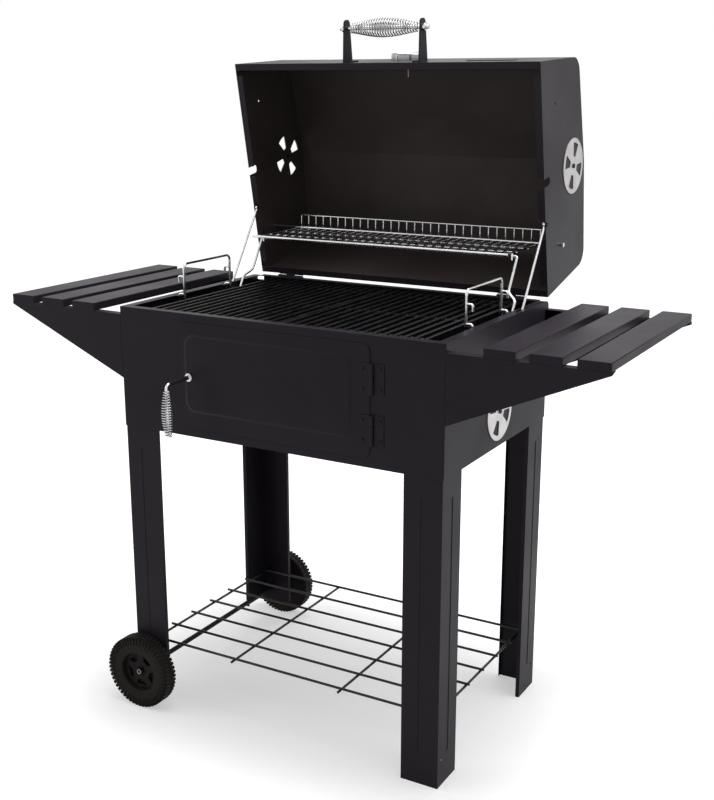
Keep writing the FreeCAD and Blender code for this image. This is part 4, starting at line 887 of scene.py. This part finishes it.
# %% Rounded outlines joined into a sheet
def rounded_loop(left, right, low, high, radius, steps=8):
    points = []
    corners = ((right - radius, low + radius, -90), (right - radius, high - radius, 0),
               (left + radius, high - radius, 90), (left + radius, low + radius, 180))
    for x, z, start in corners:
        for step in range(steps + 1):
            angle = math.radians(start + 90 * step / steps)
            points.append((x + radius * math.cos(angle), z + radius * math.sin(angle)))
    return points


def sheet_from_loops(name, loops):
    """Loops of equal length, each at its own depth; the first and last are closed off."""
    count = len(loops[0][0])
    vertices = [(x, depth, z) for outline, depth in loops for x, z in outline]
    faces = []
    for k in range(len(loops) - 1):
        for i in range(count):
            j = (i + 1) % count
            faces.append((k * count + i, k * count + j, (k + 1) * count + j, (k + 1) * count + i))
    faces.append(tuple(range(count)))
    faces.append(tuple(range((len(loops) - 1) * count, len(loops) * count)))
    mesh = bpy.data.meshes.new(name)
    mesh.from_pydata(vertices, [], faces)
    tidy(mesh, smooth=False)
    return mesh


# %% Build the door
def make_door():
    low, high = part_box("door_panel")
    press = 2.5 * MM
    face, back = low.y + press, high.y
    inset = {"left": 11 * MM, "right": 34 * MM, "low": 31 * MM, "high": 20 * MM}
    slope, rows = 7 * MM, 8

    def outline(shrink, corner, inward=0.0):
        return rounded_loop(low.x + inset["left"] * inward + shrink,
                            high.x - inset["right"] * inward - shrink,
                            low.z + inset["low"] * inward + shrink,
                            high.z - inset["high"] * inward - shrink, corner)

    rim, corner = 0.6 * MM, 14 * MM
    front = [(outline(0, corner), face + rim), (outline(rim, corner - rim), face)]
    rear = [(outline(0, corner), back - rim), (outline(rim, corner - rim), back)]
    for row in range(rows + 1):
        share = row / rows
        rise = press * (1 - math.cos(math.pi * share)) / 2
        bend = 22 * MM - 4 * MM * share
        front.append((outline(slope * share, bend, 1.0), face - rise))
        rear.append((outline(slope * share, bend, 1.0), back - rise))
    door = add_piece("fire_door", sheet_from_loops("fire_door", rear[::-1] + front), SATIN_BLACK)
    for polygon in door.data.polygons:
        polygon.use_smooth = True
    door.data.set_sharp_from_angle(angle=math.radians(35))
    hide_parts("door_panel")
    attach(door, "door")
    print("door", len(door.data.polygons), "faces, pressed out", press)


make_door()

# %% [markdown]
# ## The thermometer's face
# A heat gauge has a printed scale and a needle under its lens. The marks stand a tenth of a
# millimetre proud, which is enough to read as print. The dial's own axis is found from the
# two discs that the frame holds, and the marks ride on the lid.


# %% Marks and needle
def make_mark_tree():
    tree, source, result = geometry_tree("dial_marks", [
        ("Count", "NodeSocketInt", 21), ("Radius", "NodeSocketFloat", 0.026),
        ("Start", "NodeSocketFloat", 0.0), ("Sweep", "NodeSocketFloat", 4.7),
        ("Mark Size", "NodeSocketVector", (0.003, 0.0005, 0.0001)),
        ("Finish", "NodeSocketMaterial", None)])
    line = new_node(tree, "GeometryNodeMeshLine")
    feed(tree, line.inputs["Count"], source.outputs["Count"])
    index = new_node(tree, "GeometryNodeInputIndex").outputs[0]
    last = sums(tree, "SUBTRACT", source.outputs["Count"], 1.0)
    share = sums(tree, "DIVIDE", index, last)
    angle = sums(tree, "ADD", source.outputs["Start"],
                 sums(tree, "MULTIPLY", share, source.outputs["Sweep"]))
    put = new_node(tree, "GeometryNodeSetPosition")
    feed(tree, put.inputs["Geometry"], line.outputs[0])
    feed(tree, put.inputs["Position"],
         round_place(tree, source.outputs["Radius"], angle, 0.0))
    mark = new_node(tree, "GeometryNodeMeshCube")
    feed(tree, mark.inputs["Size"], source.outputs["Mark Size"])
    set_on = new_node(tree, "GeometryNodeInstanceOnPoints")
    feed(tree, set_on.inputs["Points"], put.outputs[0])
    feed(tree, set_on.inputs["Instance"], mark.outputs[0])
    feed(tree, set_on.inputs["Rotation"], vector(tree, 0.0, 0.0, angle))
    close_tree(tree, source, result, set_on.outputs[0])
    return tree


def dial_place(lift):
    dial, lens = middle("gauge_dial"), middle("gauge_glass")
    axis = (lens - dial).normalized()
    across = Vector((1, 0, 0))
    up = axis.cross(across)
    turn = Matrix((across, up, axis)).transposed().to_4x4()
    return Matrix.Translation(dial + axis * lift) @ turn


MARKS = make_mark_tree()
DIAL_BLACK = painted("dial_ink", (0.02, 0.02, 0.02), (0.03, 0.03, 0.03), (0.5, 0.6), 0.3)
DIAL_TOP = 0.55 * MM
DIAL_RADIUS = extent("gauge_dial").x / 2
for label, count, reach, size in (
        ("fine", 41, DIAL_RADIUS * 0.84, (2.0 * MM, 0.35 * MM, 0.1 * MM)),
        ("bold", 11, DIAL_RADIUS * 0.81, (3.8 * MM, 0.8 * MM, 0.1 * MM))):
    marks = grow(f"gauge_marks_{label}", MARKS, DIAL_BLACK, dial_place(DIAL_TOP), Count=count,
                 Radius=reach, Start=math.radians(-45), Sweep=math.radians(270), Mark_Size=size)
    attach(marks, "lid")


def make_needle():
    """A tapered needle with a round boss, turned to the cold end of the scale."""
    tail, tip = -6 * MM, DIAL_RADIUS * 0.74
    outline = [(tail, -1.1 * MM), (tip, -0.25 * MM), (tip, 0.25 * MM), (tail, 1.1 * MM)]
    blade = flat_curve("needle", [outline], 0.5 * MM, 0.1 * MM)
    blade.transform(Matrix.Rotation(math.radians(222), 4, "Z"))
    boss = lathe("boss", [(0.0, -0.4 * MM), (3 * MM, -0.4 * MM), (3 * MM, 0.6 * MM),
                          (2 * MM, 1.2 * MM), (0.0, 1.4 * MM)], 32)
    mesh = merge([blade, boss])
    mesh.transform(dial_place(DIAL_TOP + 1.0 * MM))
    needle = add_piece("gauge_needle", mesh, DIAL_BLACK)
    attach(needle, "lid")


make_needle()


# %% A rounded bezel
def make_bezel():
    """The chromed cup round the dial: straight below, rolled over at its rim."""
    turned = dial_place(0)
    axis = turned.to_3x3() @ Vector((0, 0, 1))
    across = extent("gauge_bezel").x / 2
    foot, cup_high, shoulder = -8.5 * MM, 13 * MM, 9 * MM
    roll = (across - DIAL_RADIUS) / 2
    rim = (across + DIAL_RADIUS) / 2
    top = foot + cup_high
    points = [(across, foot), (across, top - shoulder)]
    for step in range(9):
        angle = math.radians(180 * step / 8)
        points.append((rim + roll * math.cos(angle), top - shoulder + shoulder * math.sin(angle)))
    points += [(DIAL_RADIUS, -0.4 * MM), (0.0, -0.4 * MM), (0.0, foot)]
    mesh = lathe("gauge_cup", points, 96)
    mesh.transform(turned)
    bezel = add_piece("gauge_cup", mesh, BEZEL_CHROME)
    mesh.set_sharp_from_angle(angle=math.radians(50))
    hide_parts("gauge_bezel")
    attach(bezel, "lid")
    print("bezel", round(across * 2, 4), "m across, axis", [round(part, 3) for part in axis])


make_bezel()

# %% [markdown]
# ## The latch's nut
# A washer and a hexagon nut sit on the door's face, in line with the latch's rod. Both are
# turned shapes, and a turned shape with only six steps is a hexagon.


# %% A washer and a nut
def make_latch_nut():
    low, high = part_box("latch_rod")
    centre = Vector(((low.x + high.x) / 2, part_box("door_panel")[0].y, high.z - 8 * MM))
    hole = 4.3 * MM
    washer = lathe("washer", [(hole, 0.3 * MM), (8 * MM, 0.3 * MM), (8 * MM, 1.3 * MM),
                              (7.6 * MM, 1.6 * MM), (hole, 1.6 * MM)], 48)
    nut = lathe("nut", [(hole, 1.7 * MM), (6.6 * MM, 1.7 * MM), (6.6 * MM, 4.6 * MM),
                        (5.8 * MM, 5.4 * MM), (hole, 5.4 * MM)], 6)
    for face in nut.polygons:
        face.use_smooth = False
    mesh = merge([washer, nut])
    mesh.transform(Matrix.Translation(centre) @ Matrix.Rotation(math.radians(90), 4, "X"))
    nut_piece = add_piece("latch_nut", mesh, CHROME)
    mesh.set_sharp_from_angle(angle=math.radians(30))
    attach(nut_piece, "latch")


make_latch_nut()
